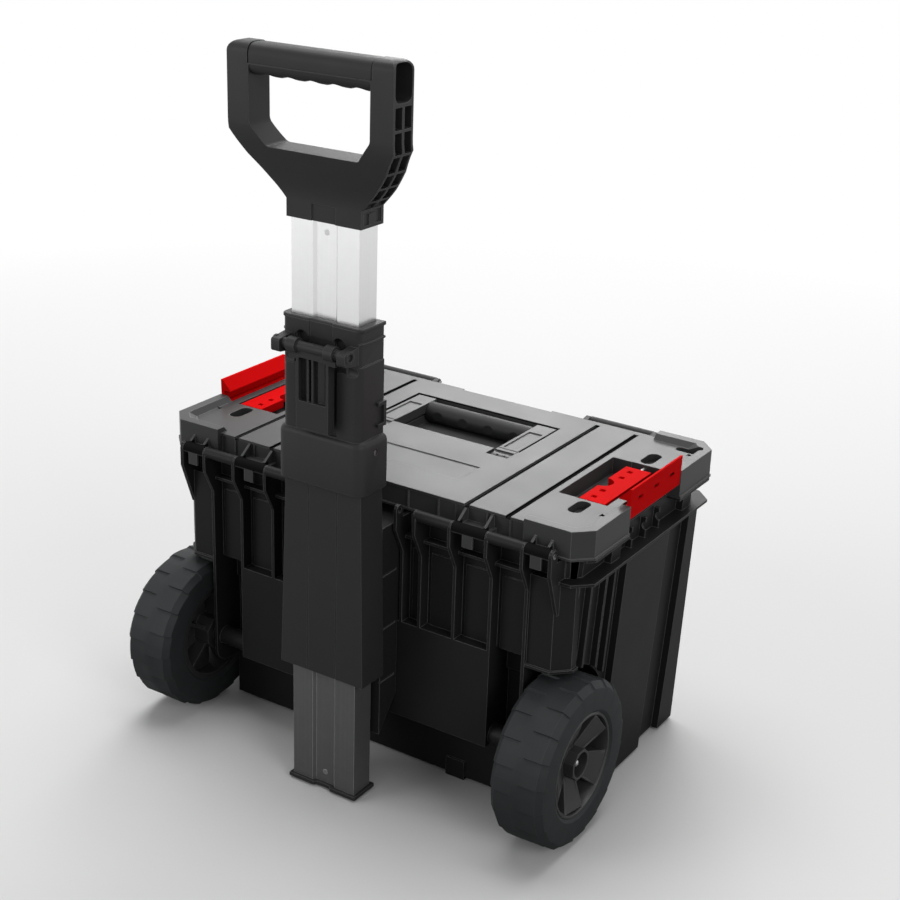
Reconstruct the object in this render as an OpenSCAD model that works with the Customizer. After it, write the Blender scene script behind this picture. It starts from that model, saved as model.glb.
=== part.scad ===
// Jobsite storage box on two wheels, with a telescopic mast at its back.
// The box's back, with the mast and the wheels, faces +Y, and its front latches face -Y.
// All modules are drawn with the lid centred on x = 0, y = 0 and the ground at z = 0.

/* [Box] */
// Width of the lid over its side skirts
lid_w = 450; // [420:1:500]
// Depth of the lid over its corner blocks
lid_d = 252; // [240:1:280]
// Height of the box to the top of the lid's corners
box_h = 296.5; // [285:0.5:330]
// Height of the lid from its skirt to its corners
lid_h = 26.5; // [25:0.5:30]
// Height of the rim band below the lid
rim_h = 25; // [22:0.5:30]
// How far the lid's middle lies below its corners
lid_sink = 5; // [4:0.5:6]
// Corner chamfer, measured along each side
corner = 15; // [12:0.5:18]
// Thickness of the moulded walls
wall = 3; // [2.4:0.1:3.4]
// Lean of the tub's sides, in degrees
draft = 3.2; // [2:0.1:4]

/* [Wheels] */
// Radius of the wheel over its tread
wheel_r = 76.5; // [72:0.5:79]
// Width of the wheel
wheel_w = 52; // [46:0.5:54]
// Distance between the outer faces of the two wheels
track_w = 462; // [456:1:500]
// Distance of the wheel axis in front of the tub's back ribs
wheel_back = 12.4; // [9:0.1:17]
// Radius of the steel axles
axle_r = 5; // [4:0.5:6]
// Number of blocks round each tread row
tread_count = 20; // [14:1:26]
// Number of spokes
spoke_count = 5; // [4:1:6]

/* [Mast] */
// Width of the aluminium tube
tube_w = 68; // [60:0.5:72]
// Depth of the aluminium tube
tube_d = 24.4; // [22:0.1:25]
// Distance from the middle of the lid to the tube's near face
tube_y = 156; // [155:0.1:160]
// Height of the tube's lower end above the ground
tube_z = 5.5; // [5:0.1:12]
// Distance from the top of the D-handle down to the tube's upper end
tube_top = 135; // [125:1:150]
// How far the mast slides up
mast_travel = 115; // [60:1:115]
// Width of the D-handle
grip_w = 159.6; // [140:0.2:180]
// Height of the top of the D-handle above the ground
mast_h = 667; // [640:1:700]

/* [Lid fittings] */
// Width of the carry handle over its arms
carry_w = 157; // [150:0.5:160]
// Distance from the carry handle's pivot to its far edge
carry_reach = 83; // [76:0.5:88]
// Length of each red clip
clip_l = 97; // [80:1:104]
// Height of each red clip
clip_h = 28; // [24:0.5:32]
// Length of each red lever
lever_l = 88; // [76:1:96]
// Width of each red lever
lever_w = 25; // [22:0.5:27]
// Width of each front latch
latch_w = 66; // [56:1:70]
// Height of each front latch
latch_h = 58; // [50:1:64]

/* [Clearances] */
// Gap between pieces that swing or slide past each other
play = 0.5; // [0.3:0.05:0.7]
// Radial gap of a pin in the bore that turns on it
pin_fit = 0.08; // [0.04:0.01:0.1]
// Radial gap of a pin in the bore that holds it
pin_seat = 0.02; // [0.01:0.01:0.05]

/* [Hidden] */
$fn = 48;
cut = 1;
half_turn = 180;
quarter = 90;
arc_step = 15;

// Levels and planes of the box
lid_x = lid_w / 2;
lid_y = lid_d / 2;
skirt_z = box_h - lid_h;
rim_z = skirt_z - rim_h;
top_z = box_h - lid_sink;
tub_top = skirt_z - play;
side_in = 14;
panel_in = 7;
rib_out = 1;
rib_h = 12;
base_in = 35;
arch_gap = 7;
shelf_rise = 3.5;
low_panel_h = 96;
floor_z = 2.5;
floor_t = 4;
rim_t = 2.5;
rim_out = 1;
rim_back = 2;
inner_cut = 4;
core_x = lid_x - side_in;
panel_x = lid_x - panel_in;
rib_y = lid_y + rib_out;
core_y = rib_y - rib_h;
base_y = rib_y - base_in;
wheel_y = rib_y - wheel_back;
overhang_z = wheel_r * 2 + arch_gap;
shelf_z = overhang_z + shelf_rise;
panel_z = shelf_z - low_panel_h;
rim_x = lid_x + rim_out;
rim_y = lid_y - rim_back;

// Back ribs: the last is beside the wheel bay, and the places between the first and the last are shares
bracket_out = 7;
rib_gap = 3.5;
rib_shares = [0, 0.1535, 0.4354, 0.7252, 1];
bay_share = 0.762;
bay_gap = 7.5;
rib_t = 3;
pad_in = 5;
pad_t = 1.2;
ear_share = 0.874;
ear_t = 3.4;
ear_drop = 18;
front_rib_h = 5;
front_rib_foot = 14;

// Lid hinge
hinge_out = 6.5;
hinge_up = 4.5;
hinge_r = 2.5;
barrel_r = 5;
nose_drop = 13;
nose_foot_drop = 11.6;
lug_t = 5;
lug_in = 4;
tab_w = 10.4;
tab_h = 14;
tab_t = 2.2;
gusset_t = 2.2;
nose_step = 30;
hinge_y = rib_y + hinge_out;
hinge_z = skirt_z + hinge_up;
nose_y = hinge_y + barrel_r;
nose_z = skirt_z - nose_drop;
nose_foot = rim_z - nose_foot_drop;

// Side panels of the tub, front to back, as shares of half the core's depth
bulge_shares = [-0.43, 0.29];
side_rib_shares = [0.44, 0.58, 0.81];
band_post_shares = [[0.44, 0.58], [-0.75, -0.62]];
front_post_share = -0.79;
side_rib_t = 2.4;
side_rib_in = 1;
side_foot_drop = 26;
post_in = 15;
post_chamfer = 13;
post_skin = 9;
post_depth = 12;
front_post_h = 6;
lip_out = 2.2;
side_foot_z = overhang_z - side_foot_drop;
post_x = lid_x - post_in;
post_y = lid_y - rim_back;

// Feet
foot_w = 20;
foot_h = 19;
foot_l = 34;
foot_out = 2;
foot_share = 0.386;
front_foot_share = 0.8;
front_foot_l = 20;
foot_x = foot_share * lid_x;
front_foot_x = front_foot_share * lid_x;

// Wheels
bay_plate_up = 28;
bay_round = 16;
boss_r = 9;
tyre_in_r = 48;
tyre_shoulder_h = 5.2;
shoulder_w = 6;
tread_depth = 1.4;
tread_gap = 2;
tread_row_share = 0.42;
rim_in = 2.4;
rim_wall = 4;
rim_lip_h = 2.2;
rim_lip_w = 3;
hub_r = 16;
hub_side_count = 8;
hub_out = 8;
cup_r = 11;
cup_depth = 9;
spoke_in_w = 17;
spoke_out_w = 31;
spoke_t = 20;
spoke_set = 6;
spoke_frame = 1.6;
spoke_dish = 1.6;
back_spoke_t = 3;
back_spoke_set = 8;
cap_r = 6.5;
cap_t = 3.5;
wheel_z = wheel_r;
track_x = track_w / 2;
wheel_in = track_x - wheel_w;
arch_r = overhang_z - wheel_r;
bay_x = min(bay_share * lid_x, wheel_in - bay_gap);
bracket_x = tube_w / 2 + bracket_out;
rib_first = bracket_x + rib_gap;
bay_plate_z = wheel_r - bay_plate_up;
tyre_face_r = wheel_r - tyre_shoulder_h;
cup_x = track_x - hub_out - cup_depth;

// Lid surface
lid_top_t = 3;
lid_edge_in = 5.6;
scoop_w = 9;
scoop_slope = 5;
corner_share = 0.733;
edge_lip = 2.4;
edge_set = 1.5;
edge_rib_t = 1.4;
edge_rib_shares = [0.06, 0.2, 0.34, 0.42, 0.56, 0.66];
far_notch_share = 0.227;
far_notch = 3;
groove_shares = [0.469, 0.651];
groove_w = 5;
groove_depth = 2;
groove_end = 7;
logo_w = 142;
logo_d = 35;
logo_y = 62;
logo_depth = 0.8;
well_wall = 2.2;
flange_out = 1;
flange_t = 2;
side_pocket_in = 4;
side_pocket_shares = [[-0.75, -0.5], [0.51, 0.65], [0.68, 0.82]];
seal_w = 4;
seal_t = 4;
seal_gap = 0.3;
tongue_h = 3.5;
tongue_in = 1.5;
seal_z = tub_top + tongue_h + seal_gap;

// Carry handle
carry_y = 3;
carry_sink = 8;
carry_r = 6;
carry_pin_r = 2.5;
carry_pin_l = 5;
carry_back = 9;
knuckle_share = 0.28;
knuckle_pitch_share = 0.36;
arm_w = 20.5;
arm_t = 9;
arm_panel_in = 3;
arm_panel_t = 1;
arm_sink = 12.5;
grip_r = 10;
grip_bar_r = 5;
carry_well = 21;
scallops = 4;
scallop_r = 14;
scallop_depth = 1.1;
carry_pin_span = [carry_w / 2 - arm_w - carry_pin_l, carry_w / 2 + carry_pin_l];
carry_pivot_z = top_z - carry_sink;
carry_floor_z = top_z - carry_well;
arm_floor_z = top_z - arm_sink;
hinge_floor_z = carry_pivot_z - carry_r - play * 2;
carry_grip_y = carry_y - carry_reach + grip_r;
carry_grip_z = top_z - play - grip_r;

// Red levers and clips
lever_in = 38;
lever_sink = 4.5;
lever_t = 8;
lever_rod_r = 2;
lever_edge = 12;
lever_rod_l = 107;
lever_shift = 6;
notch_r = 9.5;
dimple = 5;
dimple_depth = 1.5;
dimple_shares = [0.2, 0.38];
dimple_row_share = 0.36;
pocket_in_w = 70;
pocket_out_w = 22;
pocket_step_w = 51;
pocket_half = 51;
pocket_narrow = 50.5;
pocket_depth = 16;
slot_in = 2;
slot_y = 67.5;
slot_l = 27;
slot_w = 13;
slot_depth = 8;
corner_slot_in = 20;
corner_slot_y = 106;
corner_slot_share = 0.7;
tri_in = 16;
tri_front = -97;
tri_back = 71;
tri_r = 3.5;
clip_y = 1.5;
clip_t = 3;
clip_in = 1;
clip_drop = 13;
clip_pivot_in = 8;
clip_pivot_up = 4.5;
clip_rod_r = 1.6;
clip_barrel_r = 4;
clip_hook_w = 11;
clip_hook_h = 10;
clip_rod_l = 8;
clip_slot_l = 9;
clip_slot_h = 3.4;
clip_slot_share = 0.31;
clip_gap_w = 13.5;
clip_ear_in = 2;
wave_r = 6;
wave_t = 2;
wave_shares = [0.62, 0.6];
wave_pitch_share = 0.27;
lever_x = lid_x - lever_in;
lever_z = top_z - lever_sink;
pocket_in = lid_x - pocket_in_w;
pocket_out = lid_x - pocket_out_w;
pocket_step_x = lid_x - pocket_step_w;
corner_slot_x = lid_x - corner_slot_in;
tri_x = lid_x - tri_in;
clip_x = lid_x - clip_in;
clip_foot_z = box_h - clip_drop;
clip_pivot_x = lid_x - clip_pivot_in;
clip_pivot_z = clip_foot_z + clip_pivot_up;
clip_gap_x = lid_x - clip_gap_w;

// Front latches
latch_share = 0.55;
latch_out = 1.5;
latch_drop = 8;
latch_r = 4.5;
latch_pin_r = 2;
latch_t = 4.5;
latch_ear_t = 5;
latch_gap = 0.35;
latch_nose_h = 6;
latch_pad = 12;
latch_x = latch_share * lid_x;
latch_pivot_y = -lid_y - latch_out;
latch_z = box_h - latch_drop;

// Mast housing
tube_wall = 1.8;
channel_share = 0.364;
channel_depth = 2.6;
sleeve_gap = 0.35;
housing_in = 3.7;
sleeve_bottom = 121;
tube_show = 83;
band_h = 48;
sleeve_low_out = [10.7, 4];
sleeve_top_out = [5.8, 2.4];
band_out = [10.3, 9];
neck_out = [6.1, 7.2];
collar_out = [7, 5.4];
sleeve_line_x = 14.8;
sleeve_line_w = 0.8;
sleeve_line_d = 0.6;
neck_h = 134;
collar_h = 12;
collar_flange = 4;
collar_inset = 2.4;
collar_dip = 1.6;
band_round = 5;
bracket_low = 58;
bracket_drop = 8;
bracket_slope = 32;
bracket_line_share = 0.2;
groove_line = 1.6;
lip = 3;
lip_t = 3.5;
plug_h = 22;
screw_r = 2.5;
screw_share = 0.75;
tube_x = tube_w / 2;
tube_back = tube_y + tube_d;
tube_mid = tube_y + tube_d / 2;
tube_end_z = mast_h - tube_top;
channel_x = channel_share * tube_x;
sleeve_y = tube_y - housing_in;
band_z = tube_end_z - tube_show - collar_h - neck_h;
neck_top = band_z + neck_h;
bracket_top = skirt_z - bracket_drop;
sleeve_low = [tube_x + sleeve_low_out[0], tube_back + sleeve_low_out[1]];
sleeve_top = [tube_x + sleeve_top_out[0], tube_back + sleeve_top_out[1]];
band = [tube_x + band_out[0], tube_back + band_out[1]];
neck = [tube_x + neck_out[0], tube_back + neck_out[1]];
collar = [tube_x + collar_out[0], tube_back + collar_out[1]];

// Cable hook on the neck's side
hook_drop = 8;
hook_l = 11;
hook_h = 22;

// Release lever and lock pin
rel_out = 16.4;
rel_up = 125;
rel_rod_r = 3;
rel_knuckle_r = 5.5;
rel_w = 33;
rel_t = 8.5;
rel_l = 71;
rel_front = 1;
rel_window_w = 28;
rel_window_top = 9;
rel_window_l = 37;
rel_window_depth = 5;
rel_rib_t = 2;
lugs_in = 26.5;
lugs_out = 37;
lug_r = 7;
lug_drop = 19;
recess_out = 3.6;
pin_drop = 62;
pin_r = 4;
pin_head_r = 5;
pin_head_t = 2;
pin_pocket_r = 6.2;
pin_pocket = 4;
rod_l = 70;
rel_y = tube_back + rel_out;
rel_z = band_z + rel_up;
recess_y = tube_back + recess_out;
pin_z = rel_z - pin_drop;

// D-handle
bar_in = 3.9;
bar_d = 26.3;
collar_sink = 2;
block_h = 15;
block_out = [3.1, 3.5, 2.6];
handle_open_w = 116.8;
open_low = 80;
open_high = 26;
open_foot_w = 88;
open_foot_h = 17;
skirt_drop = 106;
side_drop = 68;
flare = [[20, 10], [33.4, 22.6]];
flare_share = 0.35;
side_over = 6;
side_steps = 8;
handle_round = 8;
channel_in = 10;
web_t = 3;
cross_t = 2.2;
cross_gap = 18;
cross_count = 5;
channel_foot = 6;
mouth_d = 20;
mouth_round = 6;
grip_bar = 8;
grip_bore = 6;
handle_scallop_r = 16;
handle_scallop_depth = 2;
socket_h = 26;
bar_y0 = tube_back - bar_in;
bar_y1 = bar_y0 + bar_d;
collar_z0 = tube_end_z - collar_sink;
block_x = tube_x + block_out[0];
block_y0 = tube_y - block_out[1];
block_y1 = tube_back + block_out[2];
handle_open_z0 = mast_h - open_low;
handle_open_z1 = mast_h - open_high;
handle_skirt_z = mast_h - skirt_drop;
handle_side_z = mast_h - side_drop;
bar_y = (bar_y0 + bar_y1) / 2;
bar_z = (handle_open_z1 + mast_h) / 2;

box_y = -(bar_y1 - (-latch_pivot_y + latch_r)) / 2;

black = [0.13, 0.13, 0.14];
dark = [0.2, 0.2, 0.21];
lid_grey = [0.36, 0.37, 0.38];
red = [0.8, 0.1, 0.11];
steel = [0.7, 0.71, 0.72];
silver = [0.8, 0.81, 0.82];
rubber = [0.17, 0.18, 0.19];

// Half width of a leaning side at height z, x being its half width at the rim
function lean(x, z) = x - (rim_z - z) * tan(draft);
// Plan of a rectangle of half sides x and y with chamfered corners
function plan(x, y, c) = [[x - c, y], [x, y - c], [x, c - y], [x - c, -y],
    [c - x, -y], [-x, c - y], [-x, y - c], [c - x, y]];
function rib_x(n) = rib_first + rib_shares[n] * (bay_x - rib_first);
// Room along Y that a clip takes, and g more at each end
function clip_span(g) = [clip_y - clip_l / 2 - g, clip_y + clip_l / 2 + g];

// Moves a piece from the lid's frame to the part's own, whose origin is under the middle of the whole
module placed() translate([0, box_y, 0]) children();
module both() {
    children();
    mirror([1, 0, 0]) children();
}
module block(x, y, z) translate([x[0], y[0], z[0]]) cube([x[1] - x[0], y[1] - y[0], z[1] - z[0]]);
module wide(x, y, z) block([-x, x], y, z);
module plate(x, y, c, z) translate([0, 0, z[0]]) linear_extrude(z[1] - z[0]) polygon(plan(x, y, c));
module rod_x(x, y, z, r) translate([x[0], y, z]) rotate([0, quarter, 0]) cylinder(r = r, h = x[1] - x[0]);
module rod_y(x, y, z, r) translate([x, y[1], z]) rotate([quarter, 0, 0]) cylinder(r = r, h = y[1] - y[0]);
// Outline in X and Z, drawn out along Y
module along_y(y, points) translate([0, y[1], 0]) rotate([quarter, 0, 0])
    linear_extrude(y[1] - y[0]) polygon(points);
// Outline in Y and Z, drawn out along X
module along_x(x, points) translate([x[0], 0, 0]) rotate([quarter, 0, quarter])
    linear_extrude(x[1] - x[0]) polygon(points);
// Block whose two sides lean in towards the ground
module drafted(x, y, z) along_y(y, [[-lean(x, z[0]), z[0]], [lean(x, z[0]), z[0]],
    [lean(x, z[1]), z[1]], [-lean(x, z[1]), z[1]]]);
module oval(l, w, z) translate([0, 0, z[0]]) linear_extrude(z[1] - z[0]) {
    square([w, l - w], center = true);
    for (s = [-1, 1]) translate([0, s * (l - w) / 2]) circle(d = w);
}

// Tub
module tub_core() {
    intersection() {
        union() {
            drafted(core_x, [-core_y, core_y], [shelf_z, tub_top]);
            drafted(core_x, [-core_y, base_y], [floor_z, shelf_z]);
        }
        plate(core_x + cut, core_y, corner - inner_cut, [0, tub_top]);
    }
    wide(rib_x(3) + rib_t / 2, [base_y, rib_y], [panel_z, shelf_z]);
}

module corner_posts() both() {
    front = -(core_y + front_post_h);
    for (s = [[0, overhang_z, rim_z], [lip_out, overhang_z, overhang_z + rim_t]])
        translate([0, 0, s[1]]) linear_extrude(s[2] - s[1]) polygon(post_plan(s[0]));
    intersection() {
        drafted(panel_x, [front, front_post_share * core_y], [floor_z, rim_z]);
        plate(panel_x + cut, -front, corner, [0, rim_z]);
        block([bay_x, panel_x + cut], [front, 0], [floor_z, rim_z]);
    }
}

// Plan of a back corner post, grown by g on its outer faces
function post_plan(g) = [[rib_x(4), core_y - wall], [rib_x(4), post_y + g],
    [post_x - post_chamfer, post_y + g], [post_x + g, post_y - post_chamfer],
    [post_x + g, core_y - post_depth], [core_x - post_skin, core_y - post_depth]];

module side_panels() {
    drafted(panel_x, [for (s = bulge_shares) s * core_y], [floor_z, rim_z]);
    for (s = side_rib_shares)
        drafted(panel_x - side_rib_in, [s * core_y, s * core_y + side_rib_t], [side_foot_z, rim_z]);
    for (y = band_post_shares)
        drafted(panel_x, y * core_y, [rim_z - cut, tub_top]);
}

module rim_band() {
    for (z = [rim_z, tub_top - rim_t])
        difference() {
            plate(rim_x, rim_y, corner, [z, z + rim_t]);
            wide(bracket_x + play, [core_y, lid_y + cut], [z - cut, z + rim_t + cut]);
            if (z > rim_z)
                both() block([clip_gap_x, rim_x + cut], clip_span(play), [z - cut, z + rim_t + cut]);
            if (z > rim_z)
                wide(lid_x, [core_y, lid_y], [z - cut, z + rim_t + cut]);
        }
    both() for (n = [-1:1])
        translate([clip_gap_x, clip_y + n * clip_l * wave_pitch_share, rim_z])
            wavy_rib();
    difference() {
        plate(core_x - tongue_in, core_y - tongue_in, corner - tongue_in,
            [tub_top - cut, tub_top + tongue_h]);
        plate(core_x - tongue_in - wall, core_y - tongue_in - wall, corner - tongue_in,
            [tub_top - cut * 2, tub_top + tongue_h + cut]);
    }
}

module wavy_rib() translate([0, wave_t / 2, 0]) rotate([quarter, 0, 0]) linear_extrude(wave_t)
    difference() {
        square([wave_r, rim_h - rim_t - play]);
        translate([wave_r, (rim_h - rim_t) * wave_shares[0]]) circle(r = wave_r * wave_shares[1]);
    }

// Upper end of a back rib, from the nose's foot over the hinge axis and back to the core
function rib_nose() = [[nose_y, nose_z], for (a = [0:nose_step:half_turn])
        [hinge_y + barrel_r * cos(a), hinge_z + barrel_r * sin(a)],
    [hinge_y - barrel_r, tub_top - rim_t], [core_y - cut, tub_top - rim_t]];

module back_ribs() both() {
    for (n = [0:4])
        along_x([rib_x(n) - rib_t / 2, rib_x(n) + rib_t / 2],
            concat([[core_y - cut, shelf_z], [rib_y, shelf_z], [rib_y, nose_foot]], rib_nose()));
    for (n = [0:3])
        block([rib_x(n) + pad_in, rib_x(n + 1) - pad_in], [core_y - cut, core_y + pad_t],
            [shelf_z, nose_foot]);
    ear = ear_share * lid_x;
    along_x([ear, ear + ear_t], concat([[core_y - cut, nose_foot - ear_drop],
        [rib_y - ear_t, nose_foot - ear_drop]], rib_nose()));
    for (x = [[rib_x(1), rib_x(2)], [rib_x(3), rib_x(4)]])
        rod_x(x, hinge_y, hinge_z, barrel_r);
    along_x([rib_x(4) - rib_t / 2, rib_x(4) + rib_t / 2], bay_plate());
}

// Outline of the plate at the outer side of each wheel bay
function bay_plate() = concat([[base_y - cut, bay_plate_z]],
    [for (a = [0:arc_step:quarter])
        [rib_y - bay_round + bay_round * sin(a), bay_plate_z + bay_round * (1 - cos(a))]],
    [[rib_y, shelf_z + cut], [base_y - cut, shelf_z + cut]]);

module front_ribs() both() for (n = [0, 2, 3, 4])
    block([rib_x(n) - rib_t / 2, rib_x(n) + rib_t / 2], [-core_y - front_rib_h, cut - core_y],
        [floor_z + front_rib_foot, rim_z]);

module tub_cavity() {
    drafted(core_x - wall, [wall - core_y, core_y - wall], [shelf_z + wall, tub_top + cut]);
    drafted(core_x - wall, [wall - core_y, wheel_y - arch_r - wall],
        [floor_z + floor_t, shelf_z + wall * 2]);
    wide(bay_x - rib_t / 2 - wall, [0, base_y - wall], [floor_z + floor_t, shelf_z + wall * 2]);
    wide(rib_x(3) - wall, [0, core_y - wall], [panel_z + wall, shelf_z + wall * 2]);
}

module wheel_bays() both() {
    far = lid_w;
    rod_x([bay_x + rib_t / 2, far], wheel_y, wheel_z, arch_r);
    block([bay_x + rib_t / 2, far], [wheel_y - arch_r, far], [-cut, wheel_z]);
    block([bay_x + rib_t / 2, far], [wheel_y, far], [-cut, overhang_z]);
}

module axle_bosses() both()
    rod_x([rib_x(3), wheel_in - play], wheel_y, wheel_z, boss_r);

module feet() both() {
    block([foot_x - foot_w / 2, foot_x + foot_w / 2], [base_y - foot_l, base_y + foot_out], [0, foot_h]);
    block([front_foot_x - foot_w / 2, front_foot_x + foot_w / 2],
        [-core_y, front_foot_l - core_y], [0, floor_z + cut]);
}

module tub() color(black) difference() {
    union() {
        difference() {
            union() {
                tub_core();
                corner_posts();
                side_panels();
                rim_band();
                feet();
            }
            tub_cavity();
            wheel_bays();
        }
        back_ribs();
        front_ribs();
        axle_bosses();
    }
    both() {
        rod_x([rib_x(3) + play, lid_w], wheel_y, wheel_z, axle_r + pin_seat);
        rod_x([0, lid_w], hinge_y, hinge_z, hinge_r + pin_seat);
    }
}

module axle() color(steel) rod_x([rib_x(3) + play, cup_x + cap_t / 2], wheel_y, wheel_z, axle_r);
module axle_left() axle();
module axle_right() mirror([1, 0, 0]) axle();

module hinge_pin() color(steel)
    rod_x([rib_x(1) - rib_t / 2, ear_share * lid_x + ear_t], hinge_y, hinge_z, hinge_r);
module hinge_pin_left() hinge_pin();
module hinge_pin_right() mirror([1, 0, 0]) hinge_pin();

// Lid
module lid_rims() difference() {
    plate(lid_x, lid_y, corner, [top_z - cut, box_h]);
    hull() {
        plate(lid_x - scoop_w - scoop_slope, lid_y - scoop_w - scoop_slope, corner - scoop_slope,
            [top_z, top_z + play]);
        plate(lid_x - scoop_w, lid_y - scoop_w, corner - scoop_slope, [box_h, box_h + cut]);
    }
    wide(corner_share * lid_x, [-lid_d, lid_d], [top_z, box_h + cut]);
    edge_steps();
    wide(lid_w, clip_span(play), [top_z, box_h + cut]);
}

// Cuts that set the middle of the near and far edges back from the corner blocks
module edge_steps() {
    for (s = [-1, 1])
        wide(corner_share * lid_x, s > 0 ? [lid_y - lid_edge_in, lid_d] : [-lid_d, lid_edge_in - lid_y],
            [skirt_z - cut, box_h + cut]);
    wide(far_notch_share * lid_x, [-lid_d, lid_edge_in + far_notch - lid_y], [skirt_z + flange_t, box_h]);
    difference() {
        wide(corner_share * lid_x, [lid_y - lid_edge_in - edge_set, lid_d],
            [skirt_z + flange_t, top_z - edge_lip]);
        for (s = edge_rib_shares, m = [-1, 1])
            block([m * s * lid_x - edge_rib_t / 2, m * s * lid_x + edge_rib_t / 2],
                [0, lid_y - lid_edge_in], [skirt_z, top_z]);
    }
}

module lid_body() {
    lid_rims();
    difference() {
        union() {
            plate(lid_x, lid_y, corner, [skirt_z, top_z]);
            plate(lid_x + flange_out, lid_y + flange_out / 2, corner, [skirt_z, skirt_z + flange_t]);
        }
        edge_steps();
        plate(core_x - play * 2, core_y, corner - tongue_in * 2, [skirt_z - cut, top_z - lid_top_t]);
        both() for (s = side_pocket_shares)
            block([core_x + well_wall, lid_x - side_pocket_in], s * lid_y,
                [skirt_z - cut, top_z - lid_top_t]);
    }
    seal_ring([seal_z + seal_t, top_z - lid_top_t + cut]);
}

// Ring over the tub's tongue, in the seal's plan
module seal_ring(z) difference() {
    grow = (seal_w - wall) / 2;
    plate(core_x - tongue_in + grow, core_y - tongue_in + grow, corner - tongue_in, z);
    plate(core_x - tongue_in - wall - grow, core_y - tongue_in - wall - grow, corner - tongue_in,
        [z[0] - cut, z[1] + cut]);
}

// Height to which a well's walls reach, or its space when it isn't grown
function well_top(grow) = top_z + (grow > 0 ? -cut : cut);

module side_well(grow) {
    z = top_z - pocket_depth - grow;
    hi = well_top(grow);
    block([pocket_in - grow, pocket_step_x + grow], [-pocket_narrow - grow, pocket_narrow + grow], [z, hi]);
    block([pocket_step_x - grow, pocket_out + grow], [-pocket_half - grow, pocket_half + grow], [z, hi]);
}

module slots(grow) for (s = [-1, 1])
    translate([lever_x - slot_in, s * slot_y, 0])
        oval(slot_l + grow * 2, slot_w + grow * 2, [top_z - slot_depth - grow, well_top(grow)]);

module carry_well_space(grow) {
    hi = well_top(grow);
    half = carry_w / 2 + play * 2;
    arm_x = carry_w / 2 - arm_w + cut + play;
    far = carry_y - carry_reach - play * 3 - grow;
    wide(half + grow, [far, carry_y - carry_r * 2 + grow], [arm_floor_z - grow, hi]);
    wide(arm_x + grow, [far, grow - carry_y], [carry_floor_z - grow, hi]);
    both() block([arm_x - cut * 3 - grow, half + grow],
        [carry_y - carry_r * 3 - grow, carry_y + carry_back + grow], [hinge_floor_z - grow, hi]);
}

module lid_lugs() both() {
    lugs = [[rib_x(2) + rib_t / 2 + play, rib_x(3) - rib_t / 2 - play],
        [rib_x(4) + rib_t / 2 + play, ear_share * lid_x - play]];
    for (x = lugs) {
        rod_x(x, hinge_y, hinge_z, barrel_r);
        block(x, [lid_y - lid_edge_in - lug_in, hinge_y], [hinge_z - lug_t / 2, hinge_z + lug_t / 2]);
        for (g = [x[0] + gusset_t, x[1] - gusset_t * 2])
            along_x([g, g + gusset_t], [[lid_y - lid_edge_in - edge_set - cut, hinge_z], [hinge_y, hinge_z],
                [hinge_y, hinge_z + lug_t], [lid_y - lid_edge_in - edge_set - cut, top_z - cut]]);
        middle = (x[0] + x[1]) / 2;
        block([middle - tab_w / 2, middle + tab_w / 2], [hinge_y + barrel_r - tab_t, hinge_y + barrel_r],
            [hinge_z - tab_h, hinge_z]);
    }
}

module latch_ears() both() for (s = [-1, 1])
    translate([latch_x + s * (latch_w / 2 + play + latch_ear_t / 2), 0, 0])
        along_x([-latch_ear_t / 2, latch_ear_t / 2], [[-lid_y + lid_edge_in + cut, skirt_z + flange_t],
            [latch_pivot_y, latch_z - latch_r], [latch_pivot_y - latch_r + cut, latch_z],
            [latch_pivot_y, latch_z + latch_r], [-lid_y + lid_edge_in + cut, top_z]]);

module clip_ears() both() for (s = [-1, 1]) {
    y = clip_y + s * (clip_l / 2 + play + clip_rod_l / 2);
    block([clip_gap_x - play, lid_x - clip_ear_in], [y - clip_rod_l / 2, y + clip_rod_l / 2],
        [skirt_z, top_z]);
}

module lid_shell() color(lid_grey) difference() {
    union() {
        lid_body();
        intersection() {
            union() {
                both() side_well(well_wall);
                both() slots(well_wall);
                carry_well_space(well_wall);
            }
            wide(core_x, [-core_y, core_y], [0, top_z]);
        }
        lid_lugs();
        latch_ears();
        clip_ears();
    }
    both() {
        side_well(0);
        slots(0);
        for (s = groove_shares)
            block([s * lid_x - groove_w / 2, s * lid_x + groove_w / 2],
                [-lid_y + lid_edge_in + groove_end, lid_y + cut], [top_z - groove_depth, top_z + cut]);
        block([clip_gap_x, lid_x + cut * 2], clip_span(play), [skirt_z - cut, box_h + cut]);
        for (y = [tri_front, tri_back])
            translate([tri_x, y, top_z - groove_depth * 2])
                cylinder(r = tri_r, h = lid_sink + groove_depth * 2, $fn = 3);
        translate([corner_slot_x, -corner_slot_y, top_z - slot_depth / 2]) rotate([0, 0, quarter])
            oval(slot_l, slot_w * corner_slot_share, [0, lid_sink + slot_depth]);
        rod_x([0, lid_w], hinge_y, hinge_z, hinge_r + pin_fit);
        rod_y(clip_pivot_x, clip_span(clip_rod_l), clip_pivot_z, clip_rod_r + pin_seat);
        rod_y(lever_x, [-lever_rod_l / 2, lever_rod_l / 2], lever_z, lever_rod_r + pin_seat);
        rod_x([latch_x - latch_w, latch_x + latch_w], latch_pivot_y, latch_z, latch_pin_r + pin_seat);
        rod_x(carry_pin_span, carry_y, carry_pivot_z, carry_pin_r + pin_seat);
    }
    carry_well_space(0);
    translate([0, logo_y, top_z - logo_depth]) wide(logo_w / 2, [-logo_d / 2, logo_d / 2], [0, lid_sink]);
}

module lid_seal() color(rubber) seal_ring([seal_z, seal_z + seal_t]);

module latch_pin() color(steel)
    rod_x([latch_x - latch_w / 2 - latch_ear_t - play, latch_x + latch_w / 2 + latch_ear_t + play],
        latch_pivot_y, latch_z, latch_pin_r);
module latch_pin_left() latch_pin();
module latch_pin_right() mirror([1, 0, 0]) latch_pin();

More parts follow.
